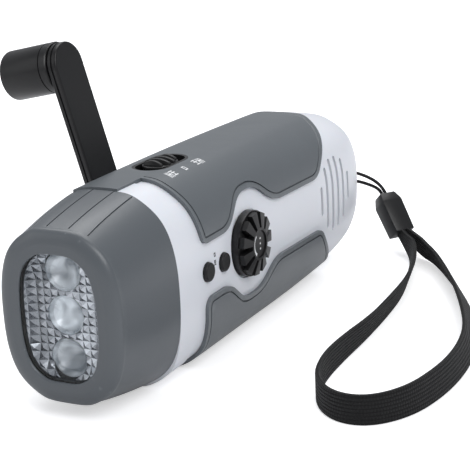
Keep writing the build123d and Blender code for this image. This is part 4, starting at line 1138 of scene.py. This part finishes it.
    def spun(self, profile: Sequence[tuple[float, float]]) -> bmesh.types.BMesh:
        """Turn a profile round each lamp's axis.

        Args:
            profile: Distance behind the crease and radius of each point, in millimetres.

        Returns:
            One mesh with a copy for each lamp.
        """
        mesh = bmesh.new()
        for height in self.lamp_heights():
            points = [
                mesh.verts.new(Vector((radius, along(depth), height)) * MM) for depth, radius in profile
            ]
            edges = [mesh.edges.new(pair) for pair in zip(points, points[1:])]
            bmesh.ops.spin(
                mesh, geom=points + edges, cent=Vector((0, 0, height)) * MM, axis=(0, 1, 0),
                angle=2 * math.pi, steps=48, use_merge=True,
            )
        tidy_normals(mesh)
        return mesh

    def add_lamps(self) -> list[bpy.types.Object]:
        """Make the clear domes and the pale cups behind them.

        Returns:
            The domes and the cups.
        """
        sphere = (self.lamp_radius**2 + self.dome_rise**2) / (2 * self.dome_rise)
        steps = 10
        span = math.asin(self.lamp_radius / sphere)
        profile = []
        for step in range(steps + 1):
            turn = span * step / steps
            profile.append((self.dome_tip + sphere * (1 - math.cos(turn)), sphere * math.sin(turn)))
        domes = piece_from("lamp_domes", self.spun(profile), "lamp_dome", "casing", smooth_angle=40.0)
        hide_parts("led_lenses")
        mouth = self.dome_tip + self.dome_rise
        cup_profile = []
        for step in range(8):
            share = step / 7
            depth = mouth + self.cup_depth * math.sin(share * math.pi / 2)
            cup_profile.append((depth, self.lamp_radius + (self.cup_floor_radius - self.lamp_radius) * share))
        cup_profile.append((mouth + self.cup_depth, 0.0))
        cups = piece_from("lamp_cups", self.spun(cup_profile), "silvered_tray", "casing", finish="lamp_cup")
        return [domes, cups]

    def build(self) -> None:
        """Make the tray and the lamps."""
        pieces = [self.add_tray(), *self.add_lamps()]
        LOG.info("lamp: %s", [piece.name for piece in pieces])


@dataclass
class HandKnob:
    """Crank knob: a smooth cylinder with a fine ring line near the arm."""

    radius: float = 7.3
    line_from_arm: float = 2.7
    line_width: float = 0.35
    line_depth: float = 0.25
    arm_gap: float = 0.15
    edge: float = 0.5
    dimple_radius: float = 3.4
    dimple_depth: float = 0.4

    def frame_axis(self) -> tuple[Vector, Vector]:
        """Ends of the knob's axis, from the joint that it spins on.

        Returns:
            The outer end and the arm's end of the knob, in metres.
        """
        joint = next(
            entry for entry in frame["record"]["behaviour"]["joints"] if entry["name"] == "knob_spin"
        )
        origin = Vector(joint["pos_m"])
        axis = Vector(joint["axis"]).normalized()
        if axis.x < 0:
            axis = -axis
        reach = [(vertex.co - origin).dot(axis) for vertex in frame["nodes"]["crank_knob"].data.vertices]
        return origin + axis * min(reach), origin + axis * max(reach)

    def build(self) -> None:
        """Turn the knob's profile round its axis."""
        outer, inner = self.frame_axis()
        axis = (inner - outer).normalized()
        spoke = axis.orthogonal().normalized()
        length = (inner - outer).length / MM + self.arm_gap
        line = length - self.line_from_arm
        profile = (
            (self.dimple_depth, 0.0),
            (self.dimple_depth, self.dimple_radius - 0.3),
            (0.0, self.dimple_radius),
            (0.0, self.radius - self.edge),
            (self.edge * 0.3, self.radius - self.edge * 0.3),
            (self.edge, self.radius),
            (line, self.radius),
            (line + self.line_width * 0.25, self.radius - self.line_depth),
            (line + self.line_width * 0.75, self.radius - self.line_depth),
            (line + self.line_width, self.radius),
            (length - 0.3, self.radius),
            (length, self.radius - 0.3),
            (length, 2.5),
        )
        mesh = bmesh.new()
        points = [mesh.verts.new(outer + (axis * depth + spoke * radius) * MM) for depth, radius in profile]
        edges = [mesh.edges.new(pair) for pair in zip(points, points[1:])]
        bmesh.ops.spin(
            mesh, geom=points + edges, cent=outer, axis=tuple(axis), angle=2 * math.pi, steps=96,
            use_merge=True,
        )
        tidy_normals(mesh)
        knob = piece_from("turned_knob", mesh, "black_plastic", "knob", smooth_angle=32.0)
        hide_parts("crank_knob")


@dataclass
class SliderCap:
    """Switch cap: a low block with round ends and arched ribs across it."""

    half_width: float = 4.1
    half_length: float = 5.9
    middle: float = 52.3
    foot: float = 52.4
    deck: float = 53.75
    end_steps: int = 12
    rib_pitch: float = 2.6
    rib_width: float = 1.4
    rib_top_share: float = 0.75
    rib_inset: float = 0.2
    rib_sink: float = 0.3
    rib_rise: float = 1.5
    rib_side_rise: float = 0.5
    rib_steps: int = 12
    ribs: int = 4
    edge: float = 0.2
    sharp_angle: float = 40.0

    def outline(self) -> list[tuple[float, float]]:
        """Outline of the block with its round ends, as X and Y from its middle."""
        straight = self.half_length - self.half_width
        points = []
        for end in (1, -1):
            for step in range(self.end_steps + 1):
                turn = math.pi * step / self.end_steps
                across = end * self.half_width * math.cos(turn)
                points.append((across, end * (straight + self.half_width * math.sin(turn))))
        return points

    def rib_reach(self, shift: float) -> float:
        """Half the length of a rib, so that it stays on the block's round ends.

        Args:
            shift: Place of the rib's middle along the block.

        Returns:
            Half the rib's length in millimetres.
        """
        past = abs(shift) + self.rib_width / 2 - (self.half_length - self.half_width)
        return math.sqrt(self.half_width**2 - max(0.0, past) ** 2) - self.rib_inset

    def build(self) -> None:
        """Make the block and its ribs."""
        mesh = bmesh.new()
        centre = along(self.middle)
        rings = []
        for height in (self.foot, self.deck):
            rings.append([mesh.verts.new(Vector((x, centre + y, height)) * MM) for x, y in self.outline()])
        prism(mesh, rings)
        for index in range(self.ribs):
            shift = (index - (self.ribs - 1) / 2) * self.rib_pitch
            reach = self.rib_reach(shift)
            rings = []
            for half in (-self.rib_width / 2, self.rib_width / 2):
                foot_y = centre + shift + half
                top_y = centre + shift + half * self.rib_top_share
                ring = [
                    mesh.verts.new(Vector((x, foot_y, self.deck - self.rib_sink)) * MM)
                    for x in (reach, -reach)
                ]
                for step in range(self.rib_steps + 1):
                    x = reach * (2 * step / self.rib_steps - 1)
                    arch = (self.rib_rise - self.rib_side_rise) * (1 - (x / reach) ** 2)
                    ring.append(
                        mesh.verts.new(Vector((x, top_y, self.deck + self.rib_side_rise + arch)) * MM)
                    )
                rings.append(ring)
            prism(mesh, rings)
        bmesh.ops.recalc_face_normals(mesh, faces=mesh.faces)
        limit = math.radians(self.sharp_angle)
        sharp = [edge for edge in mesh.edges if edge.is_manifold and edge.calc_face_angle() > limit]
        bmesh.ops.bevel(
            mesh, geom=sharp, offset=self.edge * MM, affect="EDGES", segments=2, profile=0.5, material=-1
        )
        cap = piece_from("slider_cap", mesh, "black_plastic", "slider", smooth_angle=self.sharp_angle)
        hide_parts("switch_slider")


class Side(Enum):
    """Which way a printed mark faces, with the directions that its strokes run in."""

    TOP = ((0.0, 1.0, 0.0), (-1.0, 0.0, 0.0), (0.0, 0.0, 1.0))
    DIAL_SIDE = ((0.0, 1.0, 0.0), (0.0, 0.0, 1.0), (1.0, 0.0, 0.0))


@dataclass
class Print:
    """Plain printed marks: figures made of straight strokes, and an arc with dots on the dial."""

    line_width: float = 0.32
    lift: float = 0.02
    stroke_steps: int = 4
    clear_height: float = 20.0
    dial_centre: tuple = (62.3, 29.8)
    dial_floor: float = 24.2
    arc_radius: float = 3.2
    arc_width: float = 0.8
    arc_turn: tuple = (122.0, 238.0)
    figures: tuple = (
        ("bars", (((0, 0), (0, 2)), ((0.6, 0), (0.6, 2)), ((0, 1), (1.3, 1)), ((1.3, 0), (1.3, 2)))),
        ("ring", (((0, 0), (1, 0)), ((1, 0), (1, 1.4)), ((1, 1.4), (0, 1.4)), ((0, 1.4), (0, 0)))),
        (
            "steps",
            (((0, 2), (1.3, 2)), ((0, 1.2), (1.3, 1.2)), ((0, 0.2), (1.3, 0.2)), ((0.65, 0.2), (0.65, 2))),
        ),
    )

    def add_strokes(
        self, name: str, node: str, side: Side, finish: str, marks: Sequence[tuple]
    ) -> bpy.types.Object:
        """Lay strokes on the surface of a frame node.

        Args:
            name: Name of the piece.
            node: Node that carries the marks.
            side: Way that the marks face.
            finish: Ink finish.
            marks: For each figure its name, its place as X, distance and Z, and its scale.

        Returns:
            The piece.
        """
        carrier = frame["nodes"][node].data
        places = [vertex.co for vertex in carrier.vertices]
        surface = BVHTree.FromPolygons(places, [tuple(polygon.vertices) for polygon in carrier.polygons])
        right, up, out = (Vector(direction) for direction in side.value)
        mesh = bmesh.new()
        for figure, place, scale in marks:
            corner = Vector((place[0], along(place[1]), place[2]))
            for start, stop in dict(self.figures)[figure]:
                first = corner + (right * start[0] + up * start[1]) * scale
                last = corner + (right * stop[0] + up * stop[1]) * scale
                run = (last - first).normalized()
                across = run.cross(out) * (self.line_width / 2)
                beginning = first - run * (self.line_width / 2)
                stroke = last - first + run * self.line_width
                strip = []
                for step in range(self.stroke_steps + 1):
                    middle = beginning + stroke * (step / self.stroke_steps)
                    pair = []
                    for point in (middle + across, middle - across):
                        hit = surface.ray_cast((point + out * self.clear_height) * MM, -out)
                        pair.append(mesh.verts.new(hit[0] + out * (self.lift * MM)))
                    strip.append(pair)
                for (a, b), (c, d) in zip(strip, strip[1:]):
                    mesh.faces.new((a, b, d, c))
        face_towards(mesh, out)
        slot = "white_shell" if finish == "white_ink" else "black_plastic"
        return piece_from(name, mesh, slot, "casing", finish=finish)

    def add_dial_print(self) -> bpy.types.Object:
        """Arc and dots in the dial's dish.

        Returns:
            The piece.
        """
        mesh = bmesh.new()
        centre = Vector((self.dial_floor + self.lift, along(self.dial_centre[0]), self.dial_centre[1]))
        steps = 20
        pairs = []
        for step in range(steps + 1):
            turn = math.radians(self.arc_turn[0] + (self.arc_turn[1] - self.arc_turn[0]) * step / steps)
            spoke = Vector((0, math.cos(turn), math.sin(turn)))
            radii = (self.arc_radius - self.arc_width / 2, self.arc_radius + self.arc_width / 2)
            pairs.append([mesh.verts.new((centre + spoke * radius) * MM) for radius in radii])
        for (a, b), (c, d) in zip(pairs, pairs[1:]):
            mesh.faces.new((a, c, d, b))
        for rise in (-1.5, 0.0, 1.5):
            dot = centre + Vector((0, 0.6, rise))
            ring = [
                mesh.verts.new((dot + Vector((0, 0.32 * math.cos(t), 0.32 * math.sin(t)))) * MM)
                for t in (math.tau * index / 12 for index in range(12))
            ]
            mesh.faces.new(ring)
        face_towards(mesh, Vector((1, 0, 0)))
        return piece_from("dial_print", mesh, "white_shell", "dial", finish="white_ink")

    def build(self) -> None:
        """Print the switch's, the buttons' and the dial's marks."""
        top_marks = (
            ("bars", (9.5, 41.8, 60.0), 1.15),
            ("steps", (9.5, 43.9, 60.0), 1.15),
            ("ring", (9.2, 50.0, 60.0), 1.0),
            ("steps", (9.5, 56.6, 60.0), 1.15),
            ("bars", (9.5, 58.8, 60.0), 1.15),
        )
        side_marks = (
            ("ring", (22.0, 42.9, 31.6), 0.6),
            ("steps", (22.0, 42.7, 29.2), 0.6),
        )
        self.add_strokes("switch_print", "top_grip", Side.TOP, "white_ink", top_marks)
        self.add_strokes("button_print", "right_shell", Side.DIAL_SIDE, "dark_ink", side_marks)
        self.add_dial_print()


@dataclass
class SpeakerCloth:
    """Pale cloth behind the louvres."""

    place: tuple = (16.35, 124.0, 28.2)
    radius: float = 10.9
    thickness: float = 0.15

    def build(self) -> None:
        """Make the cloth as a thin disc."""
        mesh = bmesh.new()
        centre = Vector((self.place[0], along(self.place[1]), self.place[2])) * MM
        turn = Matrix.Translation(centre) @ Matrix.Rotation(math.radians(90), 4, "Y")
        bmesh.ops.create_cone(
            mesh, cap_ends=True, segments=48, radius1=self.radius * MM, radius2=self.radius * MM,
            depth=self.thickness * MM, matrix=turn,
        )
        piece_from("louvre_cloth", mesh, "cone_paper", "casing", finish="louvre_cloth")


def dress_frame() -> None:
    """Give every node of the frame the finish of its slot."""
    slots = {entry["node"]: entry["material_slot"] for entry in frame["record"]["subparts"]}
    for name, node in frame["nodes"].items():
        node.data.materials.clear()
        node.data.materials.append(finish_of(slots[name]))
    LOG.info("dressed %d frame nodes", len(frame["nodes"]))


def main() -> None:
    """Build the studio and the object, in order."""
    logging.basicConfig(level=logging.INFO)
    Studio().build()
    Lanyard().build()
    dress_frame()
    LampTray().build()
    HandKnob().build()
    SliderCap().build()
    Print().build()
    SpeakerCloth().build()


if __name__ == "__main__":
    main()
